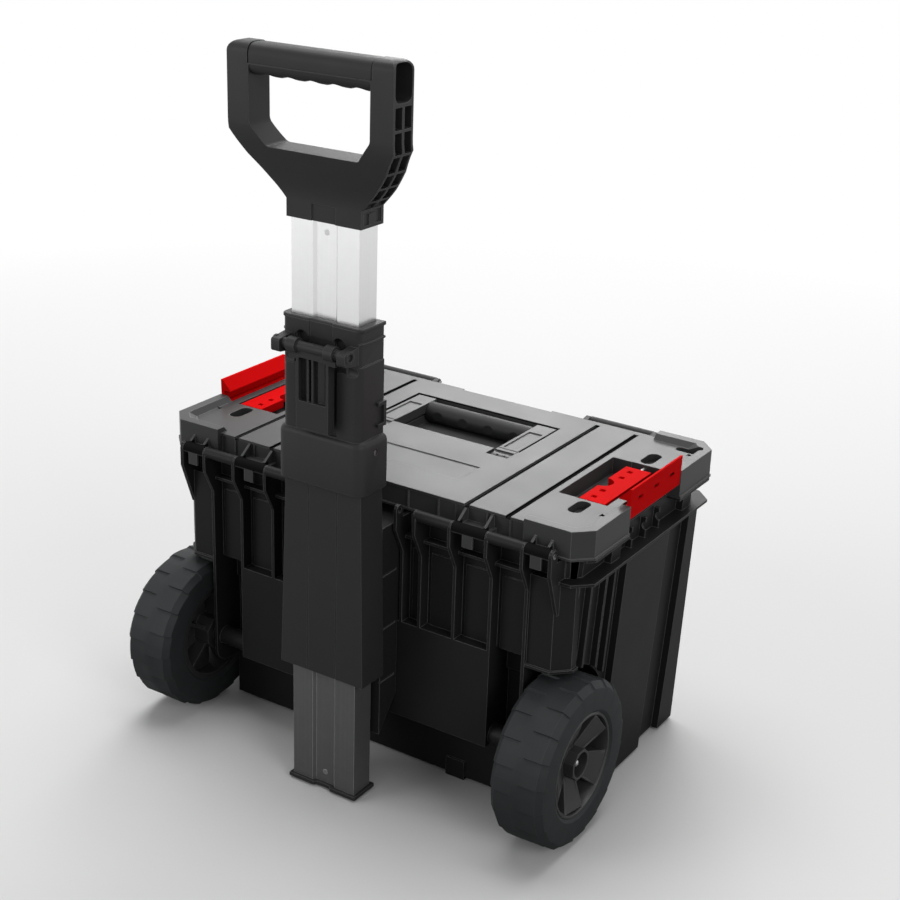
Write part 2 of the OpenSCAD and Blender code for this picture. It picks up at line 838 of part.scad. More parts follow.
module handle_pins() color(steel) both()
    rod_x(carry_pin_span, carry_y, carry_pivot_z, carry_pin_r);

module lever_rod() color(steel)
    rod_y(lever_x, [-lever_rod_l / 2, lever_rod_l / 2], lever_z, lever_rod_r);
module lever_rod_left() lever_rod();
module lever_rod_right() mirror([1, 0, 0]) lever_rod();

module clip_rod() color(steel)
    rod_y(clip_pivot_x, clip_span(clip_rod_l), clip_pivot_z, clip_rod_r);
module clip_rod_left() clip_rod();
module clip_rod_right() mirror([1, 0, 0]) clip_rod();

module latch() color(black) difference() {
    x = [latch_x - latch_w / 2, latch_x + latch_w / 2];
    nose_top = rim_z - play;
    outer = latch_pivot_y - latch_r;
    union() {
        rod_x(x, latch_pivot_y, latch_z, latch_r);
        block(x, [outer, outer + latch_t], [latch_z - latch_h, latch_z]);
        along_x([x[0] + latch_pad, x[1] - latch_pad], [[outer + cut, nose_top],
            [-rim_y - latch_gap, nose_top], [-rim_y - latch_gap, nose_top - latch_nose_h / 2],
            [outer + cut, nose_top - latch_nose_h * 2]]);
    }
    rod_x([x[0] - cut, x[1] + cut], latch_pivot_y, latch_z, latch_pin_r + pin_fit);
    block([x[0] + latch_pad, x[1] - latch_pad], [outer - cut, outer + cut],
        [latch_z - latch_h + latch_pad / 2, latch_z - latch_pad]);
}
module latch_left() latch();
module latch_right() mirror([1, 0, 0]) latch();

// Carry handle
module carry_frame() color(lid_grey) difference() {
    union() {
        both() {
            block([carry_w / 2 - arm_w, carry_w / 2], [carry_y - carry_reach, carry_y - carry_r],
                [top_z - arm_t - play, top_z - play]);
            block([carry_w / 2 - arm_w, carry_w / 2], [carry_y - carry_r * 2, carry_y],
                [carry_pivot_z, carry_pivot_z + carry_r]);
            for (n = [0:2])
                rod_x([carry_w / 2 - arm_w * (1 - n * knuckle_pitch_share),
                    carry_w / 2 - arm_w * (1 - n * knuckle_pitch_share - knuckle_share)],
                    carry_y, carry_pivot_z, carry_r);
        }
        rod_x([arm_w - carry_w / 2 - cut, carry_w / 2 - arm_w + cut], carry_grip_y, carry_grip_z,
            grip_bar_r);
    }
    both() {
        rod_x([0, carry_w], carry_y, carry_pivot_z, carry_pin_r + pin_fit);
        block([carry_w / 2 - arm_w + arm_panel_in, carry_w / 2 - arm_panel_in],
            [carry_y - carry_reach + arm_w, carry_y - carry_r * 2 - arm_panel_in],
            [top_z - play - arm_panel_t, top_z + cut]);
    }
}

module carry_grip() color(dark) difference() {
    x = carry_w / 2 - arm_w;
    rod_x([-x, x], carry_grip_y, carry_grip_z, grip_r);
    rod_x([-x - cut, x + cut], carry_grip_y, carry_grip_z, grip_bar_r + pin_seat);
    for (n = [0:scallops - 1])
        translate([x * (2 * (n + 1 / 2) / scallops - 1), carry_grip_y + grip_r + scallop_r - scallop_depth,
            carry_grip_z - grip_r - cut])
            cylinder(r = scallop_r, h = grip_r * 2 + cut * 2);
}

// Red clip: a wall that stands at the lid's edge, with a hook that faces in at its top
module clip() color(red) difference() {
    y = clip_span(0);
    top = clip_foot_z + clip_h;
    union() {
        along_y(y, [[clip_x - clip_t, clip_foot_z], [clip_x, clip_foot_z], [clip_x + cut, top],
            [clip_x - cut, top], [clip_x - clip_hook_w, top - clip_hook_h],
            [clip_x - clip_hook_w, top - clip_hook_h - cut], [clip_x - clip_t, top - clip_hook_h - cut]]);
        rod_y(clip_pivot_x, y, clip_pivot_z, clip_barrel_r);
        block([clip_pivot_x, clip_x - clip_t / 2], y, [clip_pivot_z, clip_pivot_z + clip_t]);
    }
    rod_y(clip_pivot_x, [y[0] - cut, y[1] + cut], clip_pivot_z, clip_rod_r + pin_fit);
    for (n = [-1:1])
        block([clip_x - clip_t / 2, clip_x + cut * 2],
            [clip_y + n * clip_l * clip_slot_share - clip_slot_l / 2,
                clip_y + n * clip_l * clip_slot_share + clip_slot_l / 2],
            [top - clip_h / 2, top - clip_h / 2 + clip_slot_h]);
}
module clip_left() clip();
module clip_right() mirror([1, 0, 0]) clip();

module lever() color(red) difference() {
    y = [lever_shift - lever_l / 2, lever_shift + lever_l / 2];
    x = [lever_x - lever_edge, lever_x - lever_edge + lever_w];
    z = [lever_z + play - lever_t / 2, lever_z + play + lever_t / 2];
    block(x, y, z);
    translate([x[0], lever_shift, z[0] - cut]) cylinder(r = notch_r, h = lever_t + cut * 2);
    rod_y(lever_x, [y[0] - cut, y[1] + cut], lever_z, lever_rod_r + pin_fit);
    for (s = [-1, 1])
        for (m = dimple_shares)
            translate([x[0] + lever_w * dimple_row_share, lever_shift + s * m * lever_l,
                z[1] - dimple_depth])
                cube([dimple, dimple, dimple_depth * 3], center = true);
}
module lever_left() lever();
module lever_right() mirror([1, 0, 0]) lever();

// Wheels, drawn on the +X side with the axle along X
module on_axle() translate([0, wheel_y, wheel_z]) rotate([0, quarter, 0]) children();
module turned(points) on_axle() rotate_extrude() polygon(points);

module tyre() color(rubber) difference() {
    x0 = wheel_in;
    x1 = track_x;
    turned([[tyre_in_r, x0], [tyre_face_r, x0], [wheel_r, x0 + shoulder_w], [wheel_r, x1 - shoulder_w],
        [tyre_face_r, x1], [tyre_in_r, x1]]);
    for (n = [0:tread_count - 1], s = [0, 1])
        on_axle() rotate([0, 0, (n + s / 2) * half_turn * 2 / tread_count])
            translate([wheel_r - tread_depth, -tread_gap / 2,
                s > 0 ? x0 - cut : x1 - wheel_w * tread_row_share])
                cube([wheel_r, tread_gap, wheel_w * tread_row_share + cut]);
}
module tyre_left() tyre();
module tyre_right() mirror([1, 0, 0]) tyre();

module rim() color(black) difference() {
    x0 = wheel_in + rim_in;
    x1 = track_x - rim_in;
    union() {
        turned([[tyre_in_r - rim_wall, x0], [tyre_in_r - pin_seat, x0], [tyre_in_r - pin_seat, x1],
            [tyre_in_r - rim_lip_h, x1], [tyre_in_r - rim_wall, x1 - rim_lip_w]]);
        on_axle() translate([0, 0, wheel_in])
            cylinder(r = hub_r, h = track_x - hub_out - wheel_in, $fn = hub_side_count);
        for (n = [0:spoke_count - 1])
            on_axle() rotate([0, 0, (n + 1 / 2) * half_turn * 2 / spoke_count]) spoke();
        for (n = [0:spoke_count - 1])
            on_axle() rotate([0, 0, n * half_turn * 2 / spoke_count])
                translate([hub_r - cut * 2, -back_spoke_t / 2, wheel_in + back_spoke_set])
                    cube([tyre_in_r - rim_wall / 2 - hub_r + cut * 2, back_spoke_t, wheel_w / 2]);
    }
    rod_x([0, lid_w], wheel_y, wheel_z, axle_r + pin_fit);
    rod_x([cup_x, lid_w], wheel_y, wheel_z, cup_r);
}

// One spoke, its foot on the hub and its dished face towards the wheel's outer side
module spoke() difference() {
    face = track_x - spoke_set - hub_out / 2;
    foot = hub_r - cut * 2;
    head = tyre_in_r - rim_wall + cut / 2;
    translate([0, 0, face - spoke_t]) linear_extrude(spoke_t)
        polygon([[foot, -spoke_in_w / 2], [head, -spoke_out_w / 2], [head, spoke_out_w / 2],
            [foot, spoke_in_w / 2]]);
    translate([0, 0, face - spoke_dish]) linear_extrude(spoke_dish + cut)
        polygon([[foot + spoke_frame * 2, spoke_frame - spoke_in_w / 2],
            [head - spoke_frame * 2, spoke_frame * 2 - spoke_out_w / 2],
            [head - spoke_frame * 2, spoke_out_w / 2 - spoke_frame * 2],
            [foot + spoke_frame * 2, spoke_in_w / 2 - spoke_frame]]);
}
module rim_left() rim();
module rim_right() mirror([1, 0, 0]) rim();

module hub_cap() color(steel) difference() {
    rod_x([cup_x, cup_x + cap_t], wheel_y, wheel_z, cap_r);
    rod_x([cup_x - cut, cup_x + cap_t / 2 + pin_seat], wheel_y, wheel_z, axle_r + pin_fit);
}
module hub_cap_left() hub_cap();
module hub_cap_right() mirror([1, 0, 0]) hub_cap();

// Mast housing
function tube_plan(grow) = [[-tube_x - grow, tube_y - grow], [tube_x + grow, tube_y - grow],
    [tube_x + grow, tube_back + grow], [channel_x - grow, tube_back + grow],
    [channel_x - grow - channel_depth, tube_back - channel_depth + grow],
    [-channel_x + grow + channel_depth, tube_back - channel_depth + grow],
    [-channel_x + grow, tube_back + grow], [-tube_x - grow, tube_back + grow]];
module tube_prism(grow, z) translate([0, 0, z[0]]) linear_extrude(z[1] - z[0]) polygon(tube_plan(grow));

module mast_bracket() color(black) difference() {
    union() {
        wide(bracket_x, [core_y, sleeve_y], [shelf_z, bracket_top]);
        along_x([-bracket_x, bracket_x], [[rib_y, bracket_low + bracket_slope], [sleeve_y, bracket_low],
            [sleeve_y, shelf_z + cut], [rib_y, shelf_z + cut]]);
    }
    for (n = [1:3])
        both() block([bracket_x - groove_line / 2, bracket_x + cut], [rib_y + lip, sleeve_y + cut],
            [bracket_low + n * bracket_top * bracket_line_share,
                bracket_low + n * bracket_top * bracket_line_share + groove_line]);
}

module mast_sleeve() color(black) difference() {
    intersection() {
        along_y([sleeve_y, sleeve_low[1]], [[-sleeve_low[0], sleeve_bottom], [sleeve_low[0], sleeve_bottom],
            [sleeve_top[0], band_z], [-sleeve_top[0], band_z]]);
        along_x([-sleeve_low[0], sleeve_low[0]], [[sleeve_y, sleeve_bottom], [sleeve_low[1], sleeve_bottom],
            [sleeve_top[1], band_z], [sleeve_y, band_z]]);
    }
    tube_prism(sleeve_gap, [sleeve_bottom - cut, band_z + cut]);
    both() along_x([sleeve_line_x, sleeve_line_x + sleeve_line_w], [
        [sleeve_low[1] - sleeve_line_d, sleeve_bottom - cut], [sleeve_low[1] + cut, sleeve_bottom - cut],
        [sleeve_top[1] + cut, band_z + cut], [sleeve_top[1] - sleeve_line_d, band_z + cut]]);
}

module release_lugs() both() {
    rod_x([lugs_in, lugs_out], rel_y, rel_z, lug_r);
    along_x([lugs_in, lugs_out], [[recess_y - cut, rel_z + lug_r], [rel_y, rel_z + lug_r],
        [rel_y + lug_r, rel_z], [neck[1], rel_z - lug_drop], [recess_y - cut, rel_z - lug_drop]]);
}

module mast_head() color(black) difference() {
    union() {
        translate([0, 0, band_z]) linear_extrude(band_h) head_plan(band, 0);
        translate([0, 0, band_z]) linear_extrude(neck_top - band_z) head_plan(neck, 0);
        for (z = [neck_top, neck_top + collar_h - collar_flange])
            translate([0, 0, z]) linear_extrude(collar_flange) head_plan(collar, collar_dip);
        translate([0, 0, neck_top]) linear_extrude(collar_h)
            head_plan([collar[0] - collar_inset, collar[1] - collar_inset], 0);
        release_lugs();
    }
    tube_prism(sleeve_gap, [band_z - cut, neck_top + collar_h + cut]);
    wide(rel_w / 2 + play, [recess_y, band[1] + cut], [band_z + band_h + cut, neck_top + cut]);
    both() block([rel_w / 2 + lip, neck[0] - lip], [recess_y, band[1] + cut],
        [band_z + band_h, rel_z - lug_drop]);
    wide(lugs_out, [recess_y + cut * 2, band[1] + cut], [rel_z + lug_r, neck_top + cut]);
    rod_x([-lid_w, lid_w], rel_y, rel_z, rel_rod_r + pin_seat);
    rod_y(0, [tube_back - channel_depth, band[1] + cut], pin_z, pin_r + pin_fit);
    wide(lugs_in, [recess_y, rel_y + lug_r * 2], [rel_z - lug_drop, neck_top]);
    rod_x([-lid_w, lid_w], tube_mid, band_z + band_h * screw_share, screw_r + pin_seat);
}

// Plan of the housing, size being its half width and back face, dip the set-back of its middle
module head_plan(size, dip) polygon(concat([[-size[0], sleeve_y], [size[0], sleeve_y]],
    [for (a = [0:arc_step:quarter])
        [size[0] - band_round * (1 - cos(a)), size[1] - band_round * (1 - sin(a))]],
    dip > 0 ? [[channel_x, size[1]], [channel_x - dip, size[1] - dip], [dip - channel_x, size[1] - dip],
        [-channel_x, size[1]]] : [],
    [for (a = [quarter:-arc_step:0])
        [band_round * (1 - cos(a)) - size[0], size[1] - band_round * (1 - sin(a))]]));

module head_screws() color(steel) both()
    rod_x([tube_x + sleeve_gap + play, band[0] - cut], tube_mid, band_z + band_h * screw_share, screw_r);

module cable_hook() color(black) mirror([1, 0, 0]) difference() {
    foot = band_z + band_h + hook_drop;
    block([neck[0], neck[0] + lip], [sleeve_y, sleeve_y + hook_l], [foot, foot + hook_h]);
    block([neck[0] - cut, neck[0] + lip + cut], [sleeve_y + lip, sleeve_y + hook_l + cut],
        [foot + lip, foot + hook_h - lip]);
}

module release_rod() color(steel) rod_x([-rod_l / 2, rod_l / 2], rel_y, rel_z, rel_rod_r);

module release_lever() color(black) difference() {
    x = rel_w / 2;
    front = rel_y + rel_front;
    bottom = rel_z - rel_l;
    union() {
        wide(x, [front - rel_t, front], [bottom, rel_z]);
        rod_x([-lugs_in + play, lugs_in - play], rel_y, rel_z, rel_knuckle_r);
    }
    rod_x([-lid_w, lid_w], rel_y, rel_z, rel_rod_r + pin_fit);
    for (s = [-1:1])
        translate([s * rel_window_w / 3, 0, 0])
            wide(rel_window_w / 6 - rel_rib_t / 2, [front - rel_window_depth, front + cut],
                [rel_z - rel_window_top - rel_window_l, rel_z - rel_window_top]);
    rod_y(0, [front - rel_t - cut, front - rel_t + pin_pocket], pin_z, pin_pocket_r);
}

module lock_pin() color(steel) {
    head = rel_y + rel_front - rel_t + pin_pocket / 2 - pin_head_t / 2;
    rod_y(0, [tube_back + play, head + cut / 2], pin_z, pin_r);
    rod_y(0, [head, head + pin_head_t], pin_z, pin_head_r);
}

// Mast
module mast_tube() color(silver) difference() {
    tube_prism(0, [tube_z, tube_end_z]);
    tube_prism(-tube_wall, [tube_z - cut, tube_end_z + cut]);
    for (z = [tube_z + plug_h / 2, tube_end_z - plug_h / 2])
        rod_y(0, [tube_mid, tube_back + cut], z, screw_r + pin_seat);
    for (z = [pin_z, pin_z - mast_travel])
        rod_y(0, [tube_mid, tube_back + cut], z, pin_r + play);
}

module mast_end_cap() color(black) difference() {
    union() {
        tube_prism(lip, [tube_z - lip_t, tube_z]);
        tube_prism(-tube_wall - pin_seat, [tube_z - cut, tube_z + plug_h]);
    }
    rod_y(0, [tube_mid, tube_back + cut], tube_z + plug_h / 2, screw_r + pin_seat);
}

module mast_screws() color(steel) for (z = [tube_z + plug_h / 2, tube_end_z - plug_h / 2])
    rod_y(0, [tube_mid, tube_back - channel_depth], z, screw_r);

// Right half of the D-handle's outline in X and Z, from its foot to its top
function handle_half() = concat([[block_x, collar_z0], [block_x, handle_skirt_z]],
    [for (f = flare) [tube_x + f[0], handle_skirt_z + f[1]]], [[grip_w / 2, handle_side_z]],
    [for (a = [0:arc_step:quarter])
        [grip_w / 2 - handle_round * (1 - cos(a)), mast_h - handle_round * (1 - sin(a))]]);
function flipped(points) = [for (n = [len(points) - 1:-1:0]) [-points[n][0], points[n][1]]];
module handle_outline() along_y([0, lid_w], concat(handle_half(), flipped(handle_half())));

// Side of the D-handle, its near and far lines at the shares a and b of its depth, moved by d and e
function blend(a, b, t) = a + (b - a) * (1 - cos(half_turn * t)) / 2;
function side_z(t) = collar_z0 + block_h + (handle_side_z + side_over - collar_z0 - block_h) * t;
function side_line(share, shift) = [for (n = [0:side_steps])
    [shift + blend(block_y0 + (block_y1 - block_y0) * share, bar_y0 + (bar_y1 - bar_y0) * share,
        n / side_steps), side_z(n / side_steps)]];
function reverse(points) = [for (n = [len(points) - 1:-1:0]) points[n]];
function bar_round(y, s) = [for (a = [0:arc_step:quarter])
    [y - s * handle_round * (1 - cos(a)), mast_h - handle_round * (1 - sin(a))]];
module side_prism(a, d, b, e, top) {
    near = side_line(a, d);
    far = side_line(b, e);
    along_x([-grip_w, grip_w], concat([[near[0][0], collar_z0], [far[0][0], collar_z0]], far,
        top > 0 ? [[far[side_steps][0], top], [near[side_steps][0], top]] :
            concat(bar_round(bar_y1, 1), reverse(bar_round(bar_y0, -1))), reverse(near)));
}

module handle_opening(z1) {
    half = [[open_foot_w / 2, handle_open_z0], [handle_open_w / 2, handle_open_z0 + open_foot_h],
        [handle_open_w / 2, z1]];
    along_y([0, lid_w], concat(half, flipped(half)));
}

// Channels that are open at the D-handle's sides, with a middle web and cross ribs left standing
module handle_channels() both() difference() {
    top = handle_open_z1 - web_t;
    intersection() {
        block([tube_x - channel_in, grip_w / 2 + cut], [0, lid_w], [collar_z0 + channel_foot, top]);
        side_prism(0, web_t, 1, -web_t, top);
    }
    translate([-channel_in, 0, channel_in * flare_share]) handle_outline();
    side_prism(1 / 2, -web_t / 2, 1 / 2, web_t / 2, top);
    for (n = [1:cross_count])
        wide(grip_w, [0, lid_w], [top - n * cross_gap, top - n * cross_gap + cross_t]);
    wide(tube_x + lip, [0, lid_w], [0, collar_z0 + socket_h + lip]);
}

// Rounded bar along X, d deep and high, its edges rounded by r
module round_bar(x, d, r) along_x(x, [for (q = [0:3], a = [0:arc_step:quarter])
    [bar_y + (q == 0 || q == 3 ? 1 : -1) * (d / 2 - r) + r * cos(q * quarter + a),
        bar_z + (q < 2 ? 1 : -1) * (d / 2 - r) + r * sin(q * quarter + a)]]);

module handle_frame() color(black) difference() {
    union() {
        difference() {
            intersection() {
                handle_outline();
                side_prism(0, 0, 1, 0, 0);
            }
            handle_opening(mast_h + cut);
            both() round_bar([handle_open_w / 2 + web_t, grip_w / 2 + cut], mouth_d, mouth_round);
        }
        rod_x([-handle_open_w / 2 - web_t, handle_open_w / 2 + web_t], bar_y, bar_z, grip_bar);
    }
    rod_x([-grip_w, grip_w], bar_y, bar_z, grip_bore);
    tube_prism(sleeve_gap / 2, [collar_z0 - cut, collar_z0 + socket_h]);
    handle_channels();
}

module mast_grip() color(dark) difference() {
    x = handle_open_w / 2;
    round_bar([-x, x], mast_h - handle_open_z1, handle_round);
    rod_x([-x - cut, x + cut], bar_y, bar_z, grip_bar + pin_seat);
    for (n = [0:scallops])
        rod_y(x * (2 * (n + 1 / 2) / (scallops + 1) - 1), [0, lid_w],
            handle_open_z1 - handle_scallop_r + handle_scallop_depth, handle_scallop_r);
}

placed() tub();
placed() axle_left();
placed() axle_right();
placed() hinge_pin_left();
placed() hinge_pin_right();
placed() mast_bracket();
placed() mast_sleeve();
placed() mast_head();
placed() release_rod();
placed() head_screws();
placed() cable_hook();
placed() lid_shell();
placed() lid_seal();
placed() latch_pin_left();
placed() latch_pin_right();
placed() handle_pins();
placed() lever_rod_left();
placed() lever_rod_right();
placed() clip_rod_left();
placed() clip_rod_right();
placed() latch_left();
placed() latch_right();
placed() carry_frame();
placed() carry_grip();
placed() clip_left();
placed() clip_right();
placed() lever_left();
placed() lever_right();
placed() tyre_left();
placed() rim_left();
placed() hub_cap_left();
placed() tyre_right();
placed() rim_right();
placed() hub_cap_right();
placed() mast_tube();
placed() mast_end_cap();
placed() handle_frame();
placed() mast_grip();
placed() mast_screws();
placed() release_lever();
placed() lock_pin();
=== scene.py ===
"""Jobsite storage box on wheels with a telescopic mast, dressed and lit for a studio picture.

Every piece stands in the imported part's frame, in metres. Sizes are written in millimetres, measured
from the middle of the lid and from the ground, as the part's own source has them.
"""

import logging
from collections.abc import Iterable, Mapping, Sequence
from dataclasses import dataclass
from enum import Enum
from functools import cache
from math import cos, pi, radians, sin

import bmesh
import bpy
from mathutils import Matrix, Vector


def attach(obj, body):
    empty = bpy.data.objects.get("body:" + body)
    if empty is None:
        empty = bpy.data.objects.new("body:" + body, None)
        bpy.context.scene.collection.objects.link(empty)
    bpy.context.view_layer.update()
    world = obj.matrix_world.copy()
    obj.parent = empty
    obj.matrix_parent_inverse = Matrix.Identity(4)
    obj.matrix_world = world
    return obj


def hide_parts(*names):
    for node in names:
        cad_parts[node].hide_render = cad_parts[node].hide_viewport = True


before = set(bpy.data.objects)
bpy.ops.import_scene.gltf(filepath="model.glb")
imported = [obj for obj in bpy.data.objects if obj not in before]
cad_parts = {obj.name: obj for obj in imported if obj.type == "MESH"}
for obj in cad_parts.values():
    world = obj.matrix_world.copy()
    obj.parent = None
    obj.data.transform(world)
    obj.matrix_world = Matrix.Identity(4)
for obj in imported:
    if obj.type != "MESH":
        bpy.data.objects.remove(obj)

Pair = tuple[float, float]
Point = tuple[float, float, float]
Colour = tuple[float, float, float]
Span = tuple[Pair, Pair, Pair]
Outline = list[Pair]
Piece = bpy.types.Object

log = logging.getLogger("storage_box")
MM = 0.001
# Where the middle of the lid's depth stands in the part's frame, in metres.
LID_MIDDLE_Y = -0.0354
# Distance at which two points of a form are one, in millimetres.
SAME_POINT = 0.001
# Least angle between two faces at an edge that is shaded as sharp, in degrees.
SHARP_ANGLE = 32.0
# Spans in X and in Y that reach past the mast's pieces on both sides.
ACROSS = (-90.0, 90.0)
DEEP = (130.0, 220.0)

# Places that light hardly reaches, as |X|, Y and Z in millimetres of the part's frame.
LID_GROOVES = tuple(((x, x + 5.0), (-200.0, 200.0), (288.5, 291.1)) for x in (103.1, 143.9))
LID_KNUCKLES = ((0.0, 230.0), (92.0, 110.0), (272.5, 280.5))
WELL_BORDER = tuple((x, y, (290.4, 292.0)) for x, y in (
    ((79.3, 81.3), (-118.6, -43.0)), ((0.0, 81.3), (-118.6, -116.8)), ((57.5, 81.3), (-44.4, -42.9))))
CLIP_SLOTS = tuple(((222.3, 223.9), (y - 4.5, y + 4.5), (297.5, 300.9)) for y in (-64.0, -33.9, -3.8))


class Side(Enum):
    """Sides of the box, as its part names end."""

    LEFT = "left"
    RIGHT = "right"


class Grain(Enum):
    """Moulded textures: grains per metre, octaves, depth in metres and bump strength."""

    SPARK = (1500.0, 1.0, 0.00005, 0.35)
    SATIN = (2600.0, 1.0, 0.00002, 0.2)
    SOFT = (900.0, 2.0, 0.00008, 0.4)


@dataclass(frozen=True)
class Signal:
    """Output of a shader node, on which Python's arithmetic adds Math nodes."""

    board: "Board"
    socket: bpy.types.NodeSocket

    def math(self, operation: str, *values: "Signal | float") -> "Signal":
        """Add a Math node on the given values."""
        return self.board.node("ShaderNodeMath", {"operation": operation}, dict(enumerate(values)))

    def __add__(self, other: "Signal | float") -> "Signal":
        """Sum."""
        return self.math("ADD", self, other)

    __radd__ = __add__

    def __mul__(self, other: "Signal | float") -> "Signal":
        """Product."""
        return self.math("MULTIPLY", self, other)

    __rmul__ = __mul__

    def __sub__(self, other: "Signal | float") -> "Signal":
        """Difference."""
        return self.math("SUBTRACT", self, other)

    def __rsub__(self, other: "Signal | float") -> "Signal":
        """Difference with a number on the left."""
        return self.math("SUBTRACT", other, self)

    def __truediv__(self, other: "Signal | float") -> "Signal":
        """Quotient."""
        return self.math("DIVIDE", self, other)

    def __rtruediv__(self, other: "Signal | float") -> "Signal":
        """Quotient with a number on the left."""
        return self.math("DIVIDE", other, self)

    def __abs__(self) -> "Signal":
        """Value without its sign."""
        return self.math("ABSOLUTE", self)

    def between(self, low: float, high: float) -> "Signal":
        """Map 0 to low and 1 to high."""
        return self * (high - low) + low

    def clipped(self) -> "Signal":
        """Hold the value between 0 and 1."""
        return self.math("MINIMUM", self.math("MAXIMUM", self, 0.0), 1.0)

    def within(self, limits: Pair) -> "Signal":
        """1 where the value lies between two limits."""
        return self.math("GREATER_THAN", self, limits[0]) * self.math("LESS_THAN", self, limits[1])


class Board:
    """Node tree of one material or of the world."""

    EDGE_SAMPLES = 4
    EDGE_START = 0.01
    EDGE_GAIN = 16.0

    def __init__(self, owner: bpy.types.Material | bpy.types.World) -> None:
        """Empty the owner's node tree.

        Args:
            owner: Material or world whose nodes are made here.
        """
        owner.use_nodes = True
        self.tree = owner.node_tree
        self.tree.nodes.clear()

    def node(self, kind: str, settings: Mapping[str, object] | None = None,
             values: Mapping[str | int, object] | None = None, out: str | int = 0) -> Signal:
        """Make any node.

        Args:
            kind: Node type.
            settings: Settings, which are made first.
            values: Numbers, colours or signals by the name or number of their input.
            out: Name or number of the output that is returned.

        Returns:
            The chosen output, or the first input of a node that has no outputs.
        """
        made = self.tree.nodes.new(kind)
        for name, value in (settings or {}).items():
            setattr(made, name, value)
        for name, value in (values or {}).items():
            socket = made.inputs[name]
            if isinstance(value, Signal):
                self.tree.links.new(value.socket, socket)
            elif socket.type == "RGBA":
                socket.default_value = (*value, 1.0)
            else:
                socket.default_value = value
        return Signal(self, made.outputs[out] if made.outputs else made.inputs[0])

    def place(self) -> Signal:
        """Position on the piece, in metres of the part's frame."""
        return self.node("ShaderNodeTexCoord", out="Object")

    def axis(self, name: str) -> Signal:
        """One coordinate of the position, in millimetres."""
        return self.node("ShaderNodeSeparateXYZ", None, {0: self.place()}, out=name) / MM

    def noise(self, scale: float, detail: float = 2.0, stretch: Point = (1.0, 1.0, 1.0)) -> Signal:
        """Noise from 0 to 1 in the piece's own space.

        Args:
            scale: Features per metre.
            detail: Octaves.
            stretch: Factors on the three coordinates.

        Returns:
            The noise.
        """
        where = self.node("ShaderNodeVectorMath", {"operation": "MULTIPLY"}, {0: self.place(), 1: stretch})
        return self.node("ShaderNodeTexNoise", None, {"Vector": where, "Scale": scale, "Detail": detail})

    def mix(self, factor: Signal | float, first: Signal | Colour, second: Signal | Colour) -> Signal:
        """Blend of two colours."""
        return self.node("ShaderNodeMix", {"data_type": "RGBA"}, {0: factor, 6: first, 7: second}, out=2)

    def rounded(self, radius: float) -> Signal:
        """Normal that rounds the sharp edges by a radius."""
        return self.node("ShaderNodeBevel", {"samples": self.EDGE_SAMPLES}, {"Radius": radius})

    def edges(self, rounded: Signal) -> Signal:
        """Find the sharp edges, where the rounded normal leaves the face's own.

        Args:
            rounded: The rounded normal.

        Returns:
            1 on the edges and 0 on the faces.
        """
        flat = self.node("ShaderNodeNewGeometry", out="Normal")
        turn = 1.0 - self.node("ShaderNodeVectorMath", {"operation": "DOT_PRODUCT"},
                               {0: rounded, 1: flat}, out="Value")
        return ((turn - self.EDGE_START) * self.EDGE_GAIN).clipped()

    def bumped(self, height: Signal, depth: float, strength: float, normal: Signal) -> Signal:
        """Normal with a height laid on it."""
        return self.node("ShaderNodeBump", None, {
            "Strength": strength, "Distance": depth, "Height": height, "Normal": normal})

    def grained(self, grain: Grain, normal: Signal) -> Signal:
        """Normal with a moulded texture laid on it."""
        scale, detail, depth, strength = grain.value
        return self.bumped(self.noise(scale, detail), depth, strength, normal)

    def ray(self, kind: str) -> Signal:
        """1 for the rays of one kind."""
        return self.node("ShaderNodeLightPath", out=f"Is {kind} Ray")

    def seen(self) -> Signal:
        """1 for rays of the camera and of mirror-like or clear surfaces."""
        return (self.ray("Camera") + self.ray("Glossy") + self.ray("Transmission")).clipped()

    def surface(self, shader: Signal) -> None:
        """Send a shader to the material's output."""
        self.node("ShaderNodeOutputMaterial", None, {"Surface": shader})


def scaled(colour: Colour, factor: float, lift: float = 0.0) -> Colour:
    """Colour times a factor, plus a lift."""
    return tuple(c * factor + lift for c in colour)


